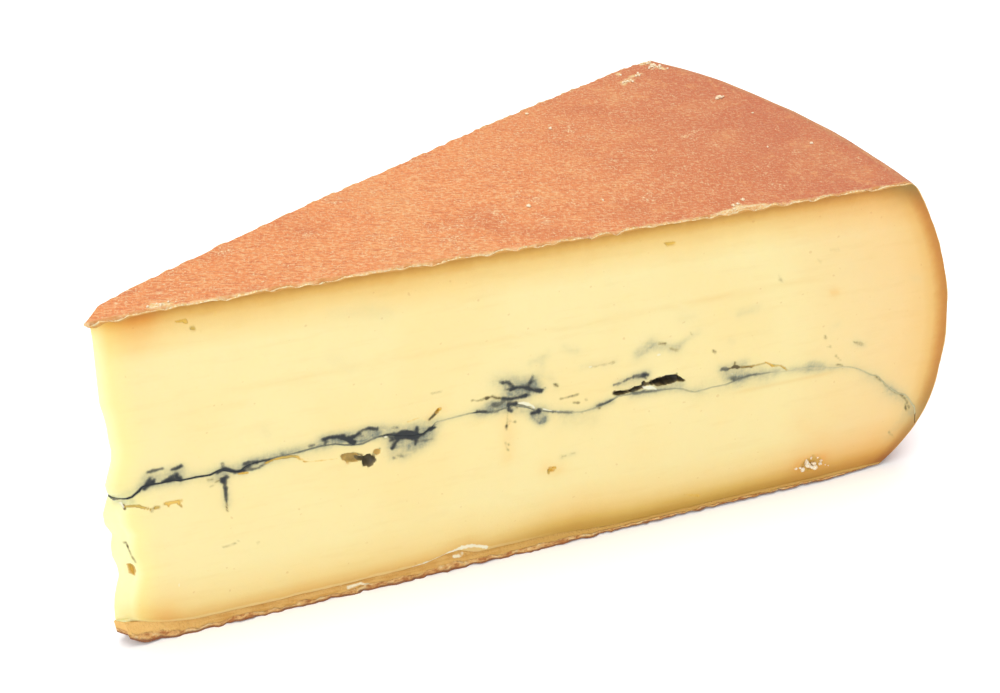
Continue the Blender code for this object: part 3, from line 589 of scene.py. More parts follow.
def wheel_radius(height):
    """The wheel's radius: a barrel side with a rounded top edge."""
    above = np.clip((height - BULGE_HEIGHT) / (WHEEL_HEIGHT - BULGE_HEIGHT), 0, 1)
    below = np.clip((BULGE_HEIGHT - height) / BULGE_HEIGHT, 0, 1)
    radius = WHEEL_RADIUS - TOP_SHRINK * above**2 - BOTTOM_SHRINK * below**3
    into_edge = np.clip(height - WHEEL_HEIGHT + TOP_EDGE_RADIUS, 0, TOP_EDGE_RADIUS)
    return radius - TOP_EDGE_RADIUS + np.sqrt(TOP_EDGE_RADIUS**2 - into_edge**2)


def slice_width(along, height):
    """The length across the wedge at a share of the way from the tip to the heel."""
    return NOSE_DEPTH * (1 - along) + wheel_radius(height) * WEDGE_ANGLE * along


def plan(along, across, height):
    """The wedge seen from above: x and y for shares of the way along and across, at a height."""
    lower = np.clip((UPPER_LAYER - height) / (UPPER_LAYER - LOWER_LAYER), 0, 1)
    before_crest = np.clip(1 - across / NOSE_CREST, 0, 1)
    past_crest = np.clip((across - NOSE_CREST) / (1 - NOSE_CREST), 0, 1)
    nose = follow(TIP_OUTLINE, height) + lower * NOSE_CHAMFER * before_crest
    nose = nose + NOSE_SLANT * (across + lower * (past_crest - across))
    turn = WEDGE_ANGLE * across
    radius = wheel_radius(height) + HEEL_BOW * np.sin(np.pi * across)
    bow = BACK_CUT_BOW * 4 * along * (1 - along) * across
    x = nose * (1 - along) + np.cos(turn) * radius * along - math.sin(WEDGE_ANGLE) * bow
    y = NOSE_DEPTH * across * (1 - along) + np.sin(turn) * radius * along + math.cos(WEDGE_ANGLE) * bow
    from_heel = (1 - along) * wheel_radius(height) / CORNER_REACH
    from_back = (1 - across) * slice_width(along, height) / CORNER_REACH
    broken = CORNER_BREAK * (CORNER_LOW_SHARE + (1 - CORNER_LOW_SHARE) * (height / WHEEL_HEIGHT) ** 2)
    broken = broken * np.exp(-(from_heel**2) - from_back**2)
    return x - np.cos(turn + CORNER_TURN) * broken, y - np.sin(turn + CORNER_TURN) * broken


def ash_half(reach, across):
    """Half the ash line's thickness, measured upright."""
    step = 0.5
    slope = (follow(ASH_ON_FRONT, reach + step) - follow(ASH_ON_FRONT, reach - step)) / (2 * step)
    uneven = 1 + 0.3 * wander(2.0, reach, across * 30.0)
    return ASH_HALF * uneven * np.sqrt(1 + slope**2)


def ash_height(reach, across):
    """Height of the ash at a distance from the axis: its own line on the front cut, a freer one deeper in."""
    broad = smooth_follow(ASH_COURSE, reach, 6.0)
    stray = ASH_WANDER * wander(1.0, reach / ASH_WANDER_PITCH, across * 1.7, 2.0) * np.minimum(1, 3 * across)
    at_front = np.clip(1 - across / FRONT_REACH, 0, 1)
    own = follow(ASH_ON_FRONT, reach) - broad
    deeper = 0.5 * wander(7.0, reach, across * 40.0) + 0.25 * wander(2.4, reach, across * 40.0)
    return broad + stray + own * at_front + deeper * (1 - at_front)


def layer_reach(along):
    """Distance from the axis at which the ash lies at a share of the way to the heel."""
    return along * wheel_radius(follow(ASH_COURSE, along * WHEEL_RADIUS))


def ledge_height(reach, across):
    """Height of the paste's lower lip, from the front cut to the back cut."""
    front = follow(LEDGE, reach) + ripples(reach, LEDGE_RIPPLES)
    back = BACK_LEDGE + BACK_LEDGE_TIP * np.exp(-reach / BACK_LEDGE_RUN) + ripples(reach, BACK_LEDGE_RIPPLES)
    return front + (back - front) * across


def bottom_height(reach, edge):
    """Height of the rind's underside; edge is 1 at a cut and 0 well inside."""
    flap = TIP_FLAP_LIFT * np.clip(1 - np.maximum(reach, 0) / TIP_FLAP_LENGTH, 0, 1) ** 2
    lift = HEEL_LIFT * np.clip((reach - HEEL_LIFT_START) / HEEL_LIFT_RUN, 0, 1)
    return flap + (ripples(reach, SOLE_RIPPLES, 0) + lift) * edge


def top_height(x, y):
    """Height of the top rind away from its edges."""
    slow = wander(28.0, x, y, 5.0)
    fine = wander(6.5, x, y, 9.0)
    return WHEEL_HEIGHT + 0.3 * slow + 0.10 * fine - TIP_SAG * np.exp(-np.maximum(0, x) / TIP_SAG_REACH)


def opening_depth(x, z):
    """How deep the openings of the front cut reach in at each place, and how dark they are inside."""
    deepest = np.zeros_like(x)
    darkest = np.zeros_like(x)
    rough = 0.45 * wander(1.2, x, z, 3.0) + 0.25 * wander(0.6, x, z, 3.0)
    for middle, height, length, tall, depth, tilt, dark in OPENINGS:
        turn = math.radians(tilt)
        run = ((x - middle) * math.cos(turn) + (z - height) * math.sin(turn)) / (length / 2)
        rise = ((z - height) * math.cos(turn) - (x - middle) * math.sin(turn)) / (tall / 2)
        inside = 1 + rough - run**2 - rise**2
        deepest = np.maximum(deepest, depth * np.sqrt(np.clip(inside, 0, 1)))
        darkest = np.maximum(darkest, dark * smooth_step(-1.2, -0.4, inside))
    return deepest, darkest


def stroke_distance(points, first, last, x, z, off):
    """Distance from a stroke drawn on a cut, whose half-width runs from first to last; negative inside it.

    off is the distance from that cut.
    """
    lengths = [math.dist(start, end) for start, end in zip(points, points[1:])]
    total = max(sum(lengths), 1e-6)
    nearest = np.full_like(x, FAR)
    done = 0.0
    for (x0, z0), (x1, z1), length in zip(points, points[1:], lengths):
        run, rise = x1 - x0, z1 - z0
        share = np.clip(((x - x0) * run + (z - z0) * rise) / (length * length), 0, 1)
        away = np.sqrt((x - x0 - share * run) ** 2 + (z - z0 - share * rise) ** 2 + off**2)
        half = first + (last - first) * (done + share * length) / total
        nearest = np.minimum(nearest, away - half)
        done += length
    return nearest


def stroke_field(strokes, x, z, off, ragged=0.0, blur=0.2):
    """How dark the strokes are at each place, from 0 to 1; their edges are ragged and blurred."""
    clear = np.ones_like(x)
    for dark, first, last, *points in strokes:
        away = stroke_distance(points, first, last, x, z, off) + ragged
        clear = clear * (1 - dark * (1 - smooth_step(-0.7 * blur, 1.3 * blur, away)))
    return 1 - clear


def cloud_field(clouds, x, z, off):
    """How dark the soft clouds are at each place, from 0 to 1."""
    clear = np.ones_like(x)
    for dark, half, softness, *points in clouds:
        away = np.maximum(0, stroke_distance(points, half, half, x, z, off))
        clear = clear * (1 - dark * np.exp(-((away / softness) ** 1.2)))
    return 1 - clear


def halo(strokes):
    """The soft clouds that strokes leave round them."""
    return [
        (HALO_DARK * dark, (first + last) / 2, HALO_SOFT, *points) for dark, first, last, *points in strokes
    ]


def back_line(reach):
    """Height of the ash line on the back cut."""
    return float(ash_height(np.array([reach]), np.array([1.0]))[0])


def back_strokes(seed):
    """The ash on the back cut: knots, wisps and clouds strung along its line."""
    draw = random.Random(seed)
    ink = []
    clouds = []
    reach = KNOTS_START
    while reach < KNOTS_END:
        height = back_line(reach)
        size = draw.uniform(*KNOT_SIZE)
        for _ in range(draw.randint(*KNOT_STROKES)):
            start = reach + draw.uniform(*KNOT_SPREAD)
            level = height + draw.uniform(*KNOT_LEVEL) * size
            length = draw.uniform(*KNOT_LENGTH) * size
            half = draw.uniform(*KNOT_HALF) * size
            middle = (start + length * draw.uniform(0.3, 0.7), level + draw.uniform(-0.4, 0.6))
            end = (start + length, level + draw.uniform(-0.8, 0.8))
            dark = draw.uniform(*KNOT_DARK)
            ink.append((dark, half, half * draw.uniform(0.2, 1.2), (start, level), middle, end))
        spread = draw.uniform(*KNOT_CLOUD)
        darkness = draw.uniform(*KNOT_CLOUD_DARK)
        clouds.append((darkness, 0.6, 1.4, (reach - spread, height + 0.4), (reach + spread, height + 1.2)))
        reach += draw.uniform(*KNOT_GAP)
    line = [(float(at), back_line(float(at))) for at in range(0, 172, 4)]
    clouds.append((0.25, 0.1, 1.2, *line))
    return ink, clouds


def block(name, counts):
    """A closed block with counts[axis] faces along each axis, and each corner's step along each axis."""
    bm = bmesh.new()
    bmesh.ops.create_cube(bm, size=1.0)
    for axis, count in enumerate(counts):
        if count > 1:
            runs = [e for e in bm.edges if abs(e.verts[0].co[axis] - e.verts[1].co[axis]) > 0.5]
            bmesh.ops.subdivide_edges(bm, edges=runs, cuts=count - 1, use_grid_fill=True)
    bmesh.ops.recalc_face_normals(bm, faces=bm.faces)
    mesh = bpy.data.meshes.new(name)
    bm.to_mesh(mesh)
    bm.free()
    places = np.empty(len(mesh.vertices) * 3)
    mesh.vertices.foreach_get("co", places)
    steps = np.rint((places.reshape(-1, 3) + 0.5) * np.array(counts)).astype(int)
    return mesh, steps.T


def shape(mesh, x, y, z):
    """Put a block's corners at x, y and z."""
    mesh.vertices.foreach_set("co", np.stack((x, y, z), -1).astype(np.float32).ravel())
    mesh.update()


def note(mesh, name, values):
    """Keep a value for each corner, for the material to read."""
    field = mesh.attributes.new(name, "FLOAT", "POINT")
    field.data.foreach_set("value", np.asarray(values, np.float32))


def wheel_axis():
    """Where the wheel's axis meets the table in the frame."""
    return Vector((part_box("cheese")[1].x - (WHEEL_RADIUS + HEEL_ROUGHNESS) * MM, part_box("ash_layer")[0].y, 0))


def into_frame(mesh):
    """Move a mesh from the wheel's axis into the frame, in metres."""
    mesh.transform(Matrix.Translation(wheel_axis()) @ Matrix.Scale(MM, 4))


def add_piece(mesh, finish, slot, *nodes):
    """Add a finished piece: it rides on the one body and stands for CAD nodes."""
    old = bpy.data.objects.get(mesh.name)
    if old is not None:
        bpy.data.objects.remove(old)
    into_frame(mesh)
    mesh.shade_smooth()
    mesh.set_sharp_from_angle(angle=math.radians(50))
    mesh.materials.append(finish)
    piece = bpy.data.objects.new(mesh.name, mesh)
    bpy.context.scene.collection.objects.link(piece)
    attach(piece, "root")
    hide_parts(*nodes)
    return piece


# ---------------------------------------------------------------- finishes


def linear(colour):
    """A colour given as it is seen (0 to 255) as the linear colour that shaders use."""
    shares = [value / 255 for value in colour]
    return tuple(s / 12.92 if s <= 0.04045 else ((s + 0.055) / 1.055) ** 2.4 for s in shares)


PLAIN_PASTE = (254, 237, 171)
PASTE_DIMMED = 0.82
RIND_DIMMED = 0.67
SALT_DIMMED = 0.88


def tint(seen):
    """What plain paste is multiplied by to look like a colour, given as it is seen."""
    return tuple(min(1.0, part / whole) for part, whole in zip(linear(seen), linear(PLAIN_PASTE)))


class Wire:
    """An output of a node, for use in sums; each operation adds its Math node."""

    def __init__(self, finish, socket):
        self.finish = finish
        self.socket = socket

    def maths(self, operation, *values):
        """The result of a Math node fed with these values."""
        return self.finish.node("Math", {"operation": operation}, dict(enumerate(values)))

    def __add__(self, other):
        return self.maths("ADD", self, other)

    def __radd__(self, other):
        return self.maths("ADD", other, self)

    def __sub__(self, other):
        return self.maths("SUBTRACT", self, other)

    def __rsub__(self, other):
        return self.maths("SUBTRACT", other, self)

    def __mul__(self, other):
        return self.maths("MULTIPLY", self, other)

    def __rmul__(self, other):
        return self.maths("MULTIPLY", other, self)

    def __truediv__(self, other):
        return self.maths("DIVIDE", self, other)

    def step(self, low, high):
        """0 below low, 1 above high, smooth between; the other way round if high is lower."""
        settings = {"interpolation_type": "SMOOTHSTEP", "clamp": True}
        if low < high:
            return self.finish.node("MapRange", settings, {"Value": self, "From Min": low, "From Max": high})
        return 1 - self.step(high, low)


class Finish:
    """A material in the making, on the Principled shader."""

    def __init__(self, name):
        old = bpy.data.materials.get(name)
        if old is not None:
            bpy.data.materials.remove(old)
        self.material = bpy.data.materials.new(name)
        self.material.use_nodes = True
        self.tree = self.material.node_tree
        self.shader = self.tree.nodes["Principled BSDF"]

    def node(self, kind, settings=None, inputs=None, output=0):
        """Add a node: its settings or ramp stops first, then what its sockets hold or are fed by."""
        made = self.tree.nodes.new("ShaderNode" + kind)
        for name, value in (settings or {}).items():
            if name == "stops":
                self.set_stops(made.color_ramp, value)
            else:
                setattr(made, name, value)
        for key, value in (inputs or {}).items():
            self.feed(made.inputs[key], value)
        return Wire(self, made.outputs[output])

    def set_stops(self, ramp, stops):
        """Fill a colour ramp from (place, linear colour) pairs."""
        while len(ramp.elements) < len(stops):
            ramp.elements.new(1.0)
        for element, (place, colour) in zip(ramp.elements, stops):
            element.position = place
            element.color = (*colour, 1.0)

    def feed(self, socket, value):
        """Link a wire to a socket, or set the socket's own value."""
        if isinstance(value, Wire):
            self.tree.links.new(value.socket, socket)
        elif socket.type == "RGBA" and len(value) == 3:
            socket.default_value = (*value, 1.0)
        else:
            socket.default_value = value

    def field(self, name):
        """A value kept on the mesh."""
        return self.node("Attribute", {"attribute_name": name}, output="Fac")

    def place(self, stretch=(1, 1, 1), turn=0.0):
        """The place on the piece in millimetres, stretched along each axis after a turn about Z."""
        spot = self.node("TexCoord", output="Object")
        turned = self.node("Mapping", None, {"Vector": spot, "Rotation": (0, 0, turn)})
        scale = tuple(1 / (MM * part) for part in stretch)
        return self.node("VectorMath", {"operation": "MULTIPLY"}, {0: turned, 1: scale})

    def noise(self, pitch, detail=2.0, stretch=(1, 1, 1), turn=0.0, roughness=0.5, warp=0.0):
        """Unevenness from 0 to 1, mostly near 0.5, of a pitch in millimetres."""
        inputs = {
            "Vector": self.place(stretch, turn),
            "Scale": 1 / pitch,
            "Detail": detail,
            "Roughness": roughness,
            "Distortion": warp,
        }
        return self.node("TexNoise", None, inputs)

    def mix(self, factor, under, over, blend="MIX"):
        """Two colours, mixed or blended."""
        settings = {"data_type": "RGBA", "blend_type": blend, "clamp_factor": True}
        return self.node("Mix", settings, {0: factor, 6: under, 7: over}, output=2)

    def ramp(self, value, reach, stops):
        """A colour for each distance: stops are (distance, linear colour) pairs up to a reach."""
        places = [(distance / reach, colour) for distance, colour in stops]
        return self.node("ValToRGB", {"stops": places}, {"Fac": value / reach})

    def tints(self, value, reach, stops):
        """What plain paste is multiplied by at each distance; stops are (distance, seen colour) pairs."""
        return self.ramp(value, reach, [(distance, tint(seen)) for distance, seen in stops])

    def dimmed(self, colour, share):
        """A colour given as it is seen, dimmed to a share so that it looks so in the stage's strong light."""
        return self.mix(1.0, colour, (share, share, share), "MULTIPLY")

    def bump(self, height, depth, under=None):
        """A normal dented by a height from 0 to 1, depth millimetres deep."""
        inputs = {"Height": height, "Distance": depth * MM, "Strength": 1.0}
        if under is not None:
            inputs["Normal"] = under
        return self.node("Bump", None, inputs)

    def finish(self, **sockets):
        """Feed the shader's sockets, by their names with underscores, and return the material."""
        for name, value in sockets.items():
            self.feed(self.shader.inputs[name.replace("_", " ")], value)
        return self.material


def paste_finish(paste, ash):
    """Soft ivory paste: ochre towards the rind (partly painted shade under its edge), smoked and veined with ash,
    with golden cracks, painted glints and a painted glow at the thin tip.
    """
    made = Finish("paste")
    clouds = made.noise(22.0, 2.0)
    drag = made.noise(1.0, 3.0, stretch=(9.0, 9.0, 1.6))
    grain = made.noise(0.55, 3.0)
    ragged = made.noise(2.2, 4.0, roughness=0.6)
    motes = made.noise(1.3, 1.0)

    colour = made.mix((clouds - 0.38) * 2.2, tuple(paste.colour), tuple(paste.deep_colour))
    colour = made.mix(drag.step(0.50, 0.75) * 0.20, colour, tint((244, 220, 150)), "MULTIPLY")
    colour = made.mix(motes.step(0.72, 0.78) * 0.35, colour, tint((226, 186, 124)), "MULTIPLY")

    # Ochre towards the top rind: partly the paste's own darker zone under the rind, partly painted shade under
    # the rind's overhanging edge
    stops = (
        (0.0, (190, 134, 48)),
        (0.8, (205, 149, 58)),
        (2.0, (230, 183, 92)),
        (3.4, (244, 207, 126)),
        (6.0, (252, 225, 151)),
        (10.0, PLAIN_PASTE),
    )
    top = made.field("top_depth") + (ragged - 0.5) * 0.9
    colour = made.mix(1.0, colour, made.tints(top, 12.0, stops), "MULTIPLY")
    stops = (
        (0.0, (242, 202, 134)),
        (0.3, (220, 160, 80)),
        (0.6, (207, 136, 50)),
        (1.6, (213, 147, 60)),
        (2.6, (227, 169, 82)),
        (4.0, (243, 198, 115)),
        (6.5, (250, 212, 137)),
        (12.0, (253, 220, 152)),
        (22.0, (253, 226, 160)),
        (40.0, PLAIN_PASTE),
    )
    heel = made.field("heel_depth") + (ragged - 0.5) * 1.0
    colour = made.mix(1.0, colour, made.tints(heel, 44.0, stops), "MULTIPLY")
    low = made.field("base_height") + (ragged - 0.5) * 0.4
    stops = (
        (0.0, (228, 180, 96)),
        (0.8, (238, 194, 112)),
        (1.8, (245, 209, 130)),
        (3.4, (250, 223, 148)),
        (6.0, (253, 230, 159)),
        (11.0, PLAIN_PASTE),
    )
    near_tip = made.tints(low, 13.0, stops)
    stops = (
        (0.0, (206, 160, 66)),
        (1.2, (214, 171, 78)),
        (2.6, (231, 192, 100)),
        (4.4, (245, 212, 132)),
        (7.0, (252, 226, 154)),
        (12.0, PLAIN_PASTE),
    )
    near_heel = made.tints(low, 13.0, stops)
    colour = made.mix(1.0, colour, made.mix(made.field("ledge"), near_heel, near_tip), "MULTIPLY")
    # A thin pale line along the top edge of the paste's lower lip: painted highlight.
    colour = made.mix(made.field("ledge") * low.step(0.62, 0.42) * 0.6, colour, linear((244, 212, 146)))
    # Darker and more olive towards the heel's lower and top corners
    colour = made.mix(made.field("stain"), colour, linear((160, 134, 62)))

    # Painted glow: the paste turns paler and yellower towards the tip's blunt end, standing in for light shining
    # through the thin tip.
    painted_tip_glow = made.field("tip_depth")
    colour = made.mix(painted_tip_glow.step(8.0, 0.0) * 0.75, colour, linear((255, 248, 160)))
    colour = made.mix(painted_tip_glow.step(3.2, 0.4) * 0.85, colour, linear((255, 255, 196)))
    colour = made.mix(made.field("knife") * 0.34, colour, tint((240, 205, 125)), "MULTIPLY")

    wisp = made.noise(0.8, 4.0, stretch=(1.4, 1.4, 1.0), roughness=0.6, warp=0.4)
    veil = made.noise(3.0, 3.0, stretch=(1.3, 1.3, 1.0))
    hair = made.noise(0.35, 3.0, stretch=(1.0, 1.0, 4.0))
    blush = made.field("blush")
    colour = made.mix(blush * (veil * 0.6 + 0.7), colour, tint((252, 192, 88)), "MULTIPLY")

    def edged(name):
        value = made.field(name)
        return value + value * (1 - value) * ((wisp - 0.5) * 2.6 + (hair - 0.5) * 1.0)

    smoke = made.field("smoke") * (veil * 0.8 + wisp * 0.9 + hair * 0.4 - 0.1)
    stops = (
        (0.0, linear((230, 218, 160))),
        (0.35, tuple(ash.haze_colour)),
        (0.75, linear((156, 158, 132))),
        (1.0, linear((126, 132, 116))),
    )
    colour = made.mix(smoke * 1.1, colour, made.ramp(smoke, 1.0, stops))
    olive = edged("olive")
    stain = made.mix(olive.step(0.3, 0.9), linear((170, 152, 92)), linear((96, 82, 44)))
    colour = made.mix(olive.step(0.02, 0.8), colour, stain)

    # Inside the openings: their own darker colour, made darker still deeper in as painted shade
    pit = made.field("pit") + (grain - 0.5) * 0.2
    tone = made.field("pit_dark") * (pit.step(0.05, 0.7) * 0.45 + 0.55) + (wisp - 0.5) * 0.25
    stops = (
        (0.0, linear((232, 186, 96))),
        (0.22, linear((196, 158, 76))),
        (0.45, linear((116, 98, 56))),
        (0.8, linear((80, 68, 44))),
        (1.0, linear((48, 42, 34))),
    )
    colour = made.mix(pit.step(0.02, 0.22) * 0.95, colour, made.ramp(tone, 1.0, stops))

    ink = edged("ink")
    colour = made.mix(ink.step(0.02, 0.60) * 0.85, colour, tuple(ash.rim_colour))
    core = ink.step(0.40, 1.0)
    colour = made.mix(core, colour, tuple(ash.core_colour))

    crack = edged("crack")
    split = crack.step(0.3, 0.9)
    gold = made.mix(veil.step(0.4, 0.6), linear((244, 194, 72)), linear((206, 168, 64)))
    colour = made.mix(crack.step(0.03, 0.8) * 0.85, colour, gold)
    # Pale specks, and painted highlights on glossy spots and along the lip's top edge
    pale = edged("pale").step(0.25, 0.8)
    colour = made.mix(pale * 0.9, colour, linear((255, 250, 222)))

    lumps = made.noise(9.0, 2.0)
    normal = made.bump(lumps * 0.7 + grain * 0.06 + drag * 0.10, 0.5)
    normal = made.bump(1 - split * 0.8 - core * 0.15, 0.3, normal)
    return made.finish(
        Base_Color=made.dimmed(colour, PASTE_DIMMED),
        Roughness=0.52 - pale * 0.34,
        Normal=normal,
        Subsurface_Weight=0.25,
        Subsurface_Radius=(1.0, 0.6, 0.25),
        Subsurface_Scale=0.003,
        Specular_IOR_Level=0.35,
    )


def rind_finish(rind):
    """A dry rind marked by its cloth: orange, pinker and, as painted shade, darker towards the heel, speckled,
    with pale broken edges, painted shade under its bottom edge and painted glints there.
    """
    made = Finish("rind")
    orange = tuple(rind.colour)
    cloth_turn = rind.cloth_turn
    patches = made.noise(19.0, 3.0, roughness=0.6)
    blotches = made.noise(4.0, 3.0, roughness=0.65)
    threads = made.noise(0.55, 2.0, stretch=(1.7, 0.8, 1.7), turn=cloth_turn, roughness=0.6)
    strands = made.noise(0.6, 2.0, stretch=(9.0, 1.0, 9.0), turn=cloth_turn)
    cross = made.noise(0.45, 2.0, stretch=(0.9, 3.0, 3.0), turn=cloth_turn, roughness=0.6)
    grain = made.noise(0.40, 3.0)
    run = made.node("SeparateXYZ", None, {0: made.place()}, output="X")

    fresh = run.step(85.0, 0.0) * 0.6 + 0.4
    # Pinker towards the heel, and darker there as painted shade of the light falling off away from the lamp at
    # the left
    colour = made.mix(run.step(-20.0, 75.0), orange, tuple(rind.heel_colour))
    colour = made.mix(patches.step(0.50, 0.70) * 0.45 * fresh, colour, tuple(rind.light_colour))
    colour = made.mix(patches.step(0.50, 0.32) * 0.50, colour, tuple(rind.dark_colour))
    colour = made.mix(blotches.step(0.52, 0.72) * 0.50, colour, tuple(rind.dark_colour))
    colour = made.mix(blotches.step(0.46, 0.30) * 0.35, colour, tuple(rind.light_colour))
    bloom = threads.step(0.52, 0.66) * (patches * 0.8 + 0.2) * fresh
    colour = made.mix(bloom, colour, tuple(rind.bloom_colour))
    colour = made.mix(threads.step(0.48, 0.33) * 0.60 * fresh, colour, tuple(rind.dark_colour))
    colour = made.mix(strands.step(0.48, 0.32) * 0.45, colour, tuple(rind.dark_colour))
    colour = made.mix(cross.step(0.56, 0.68) * 0.40 * fresh, colour, tuple(rind.bloom_colour))
    colour = made.mix(grain.step(0.60, 0.70) * 0.65 * fresh, colour, linear((255, 222, 170)))

    bare = made.field("bare") + (blotches - 0.5) * 2.6 + (grain - 0.5) * 1.6
    bare_mask = bare.step(0.35, -0.25)
    edge = made.field("edge") + (blotches - 0.5) * 1.4 + (grain - 0.5) * 1.2
    edge_mask = edge.step(0.50, 0.05)
    depth = made.field("depth") + (grain - 0.5) * 0.12 + (blotches - 0.5) * 0.20
    pale = made.mix(grain.step(0.4, 0.6), linear((250, 206, 136)), linear((255, 238, 190)))
    rim = made.field("rim") + (blotches - 0.5) * 2.4
    colour = made.mix(rim.step(2.0, 0.3) * patches.step(0.35, 0.6) * 0.4, colour, linear((196, 132, 92)))
    colour = made.mix(rim.step(0.6, 0.0) * blotches.step(0.38, 0.56) * 0.5, colour, linear((238, 180, 118)))
    colour = made.mix(bare_mask * 0.9, colour, pale)
    broken = made.mix(blotches.step(0.42, 0.56), linear((226, 160, 92)), pale)
    colour = made.mix(edge_mask * 0.8, colour, broken)
    colour = made.dimmed(colour, RIND_DIMMED)
    # The skin's cut section: pale at its outer edge and ochre deeper in, which is partly its own colour and
    # partly painted shade under the overhanging edge
    section = made.mix(depth.step(0.16, 0.30), pale, linear((220, 160, 82)))
    colour = made.mix(depth.step(0.02, 0.10), colour, made.dimmed(section, PASTE_DIMMED))

    crumb = made.noise(0.9, 4.0, stretch=(1.8, 1.8, 1.0), roughness=0.6)
    streak = made.noise(0.8, 3.0, stretch=(5.0, 5.0, 0.8))
    low = made.field("low")
    sole = (made.field("sole") + (blotches - 0.5) * 0.7).step(0.56, 0.70)
    lip = made.mix(streak.step(0.35, 0.65), linear((214, 160, 80)), linear((230, 182, 104)))
    lip = made.mix(made.field("from_tip").step(20.0, 2.0) * 0.8, lip, linear((250, 200, 118)))
    lip = made.mix(made.field("from_tip").step(66.0, 96.0) * 0.8, lip, linear((214, 168, 86)))
    lip = made.mix(crumb.step(0.66, 0.74) * 0.6, lip, linear((246, 212, 150)))
    crust = made.mix(crumb.step(0.34, 0.54), linear((186, 120, 62)), linear((238, 186, 116)))
    crust = made.mix(crumb.step(0.52, 0.64) * 0.8, crust, linear((252, 222, 164)))
    # Darker brown on the underside of the crumbly bottom edge: painted shade
    under = (made.field("sole") + (crumb - 0.5) * 0.3).step(0.80, 0.94)
    crust = made.mix(under * 0.9, crust, linear((136, 78, 50)))
    below = made.mix(sole, lip, crust)
    # Painted highlights on the side of the bottom rind, below the lip
    glint = made.field("glint").step(0.3, 0.7)
    below = made.mix(glint * 0.9, below, linear((255, 246, 212)))
    colour = made.mix(low, colour, made.dimmed(below, PASTE_DIMMED))

    relief = threads * 0.9 + strands * 0.5 + cross * 0.35 + grain * 0.3 + blotches * 0.6
    normal = made.bump(relief, 0.30)
    normal = made.bump(crumb * low * sole, 0.7, normal)
    return made.finish(
        Base_Color=colour,
        Roughness=0.72 - threads * 0.14,
        Normal=normal,
        Subsurface_Weight=0.08,
        Subsurface_Radius=(1.0, 0.5, 0.25),
        Subsurface_Scale=0.002,
        Specular_IOR_Level=0.32,
    )


def ash_finish(ash):
    """Matt blue-black ash pressed thin, greyer where the paste has closed on it."""
    made = Finish("ash")
    grain = made.noise(0.8, 4.0, roughness=0.6)
    dark = made.field("dark") + (grain - 0.5) * 0.35
    stops = (
        (0.0, linear((244, 226, 168))),
        (0.25, linear((204, 194, 146))),
        (0.55, linear((122, 124, 104))),
        (0.85, tuple(ash.core_colour)),
    )
    return made.finish(
        Base_Color=made.dimmed(made.ramp(dark, 1.0, stops), PASTE_DIMMED),
        Roughness=0.7,
        Normal=made.bump(grain, 0.05),
        Subsurface_Weight=0.25,
        Subsurface_Radius=(1.0, 0.6, 0.25),
        Subsurface_Scale=0.003,
        Specular_IOR_Level=0.3,
    )


def crumb_finish():
    """Dry pale crumbs of rind and paste, and salt crystals."""
    made = Finish("crumb")
    grain = made.noise(0.35, 3.0)
    colour = made.mix(grain.step(0.3, 0.7), linear((240, 205, 150)), linear((255, 240, 212)))
    salt = made.mix(grain.step(0.35, 0.6), linear((244, 208, 160)), linear((255, 246, 222)))
    colour = made.mix(made.field("salt"), made.dimmed(colour, PASTE_DIMMED), made.dimmed(salt, SALT_DIMMED))
    return made.finish(Base_Color=colour, Roughness=0.6, Normal=made.bump(grain, 0.08), Subsurface_Weight=0.1)


def floor_finish(stage):
    """The plain matt floor."""
    made = Finish("floor")
    return made.finish(Base_Color=tuple(stage.floor_colour), Roughness=0.9, Specular_IOR_Level=0.0)


# ---------------------------------------------------------------- settings


def colour_property(name, description, seen):
    """A colour property whose default is given as it is seen."""
    return FloatVectorProperty(
        name=name, description=description, default=linear(seen), subtype="COLOR", size=3, min=0.0, max=1.0
    )


class PasteSettings(bpy.types.PropertyGroup):
    """The two layers of paste."""

    colour: colour_property("Paste", "Colour of the paste in the middle of a layer", (254, 237, 173))
    deep_colour: colour_property("Paste, deeper", "Colour of its slightly darker clouds", (254, 231, 162))


class RindSettings(bpy.types.PropertyGroup):
    """The rind."""

    thickness: FloatProperty(
        name="Thickness",
        description="Thickness of the skin on the top and the heel",
        default=0.0005,
        min=0.0003,
        max=0.001,
        unit="LENGTH",
    )
    cloth_turn: FloatProperty(
        name="Cloth direction",
        description="How far the marks of the cloth are turned from the front cut",
        default=math.radians(18),
        subtype="ANGLE",
    )
    colour: colour_property("Rind", "Colour near the tip", (246, 155, 92))
    # pinker than near the tip, and darker: the darkening is painted shade
    heel_colour: colour_property("Rind, heel", "Pinker colour towards the heel", (208, 116, 78))
    light_colour: colour_property("Light patches", "Colour of its lighter patches", (250, 178, 112))
    dark_colour: colour_property("Dark patches", "Colour of its darker patches", (212, 116, 68))
    bloom_colour: colour_property("Bloom", "Colour of the dry bloom on the cloth marks", (255, 206, 150))


class AshSettings(bpy.types.PropertyGroup):
    """The ash line and the veins round it."""

    core_colour: colour_property("Ash", "Colour where the ash is thick", (36, 42, 46))
    rim_colour: colour_property("Ash, thin", "Colour at the edge of a vein", (112, 112, 92))
    haze_colour: colour_property("Smoke", "Colour of the paste that ash has smoked", (194, 190, 146))
    seed: IntProperty(name="Seed", description="Which veins the back cut has", default=7, min=0)


class CrumbSettings(bpy.types.PropertyGroup):
    """Loose crumbs."""

    count: IntProperty(name="Crumbs", description="Crumbs strewn along the rind's edges", default=90, min=0)
    size: FloatProperty(
        name="Size",
        description="Usual radius of a crumb",
        default=0.0003,
        min=0.0001,
        max=0.001,
        unit="LENGTH",
    )
    seed: IntProperty(name="Seed", description="Where the crumbs lie", default=3, min=0)


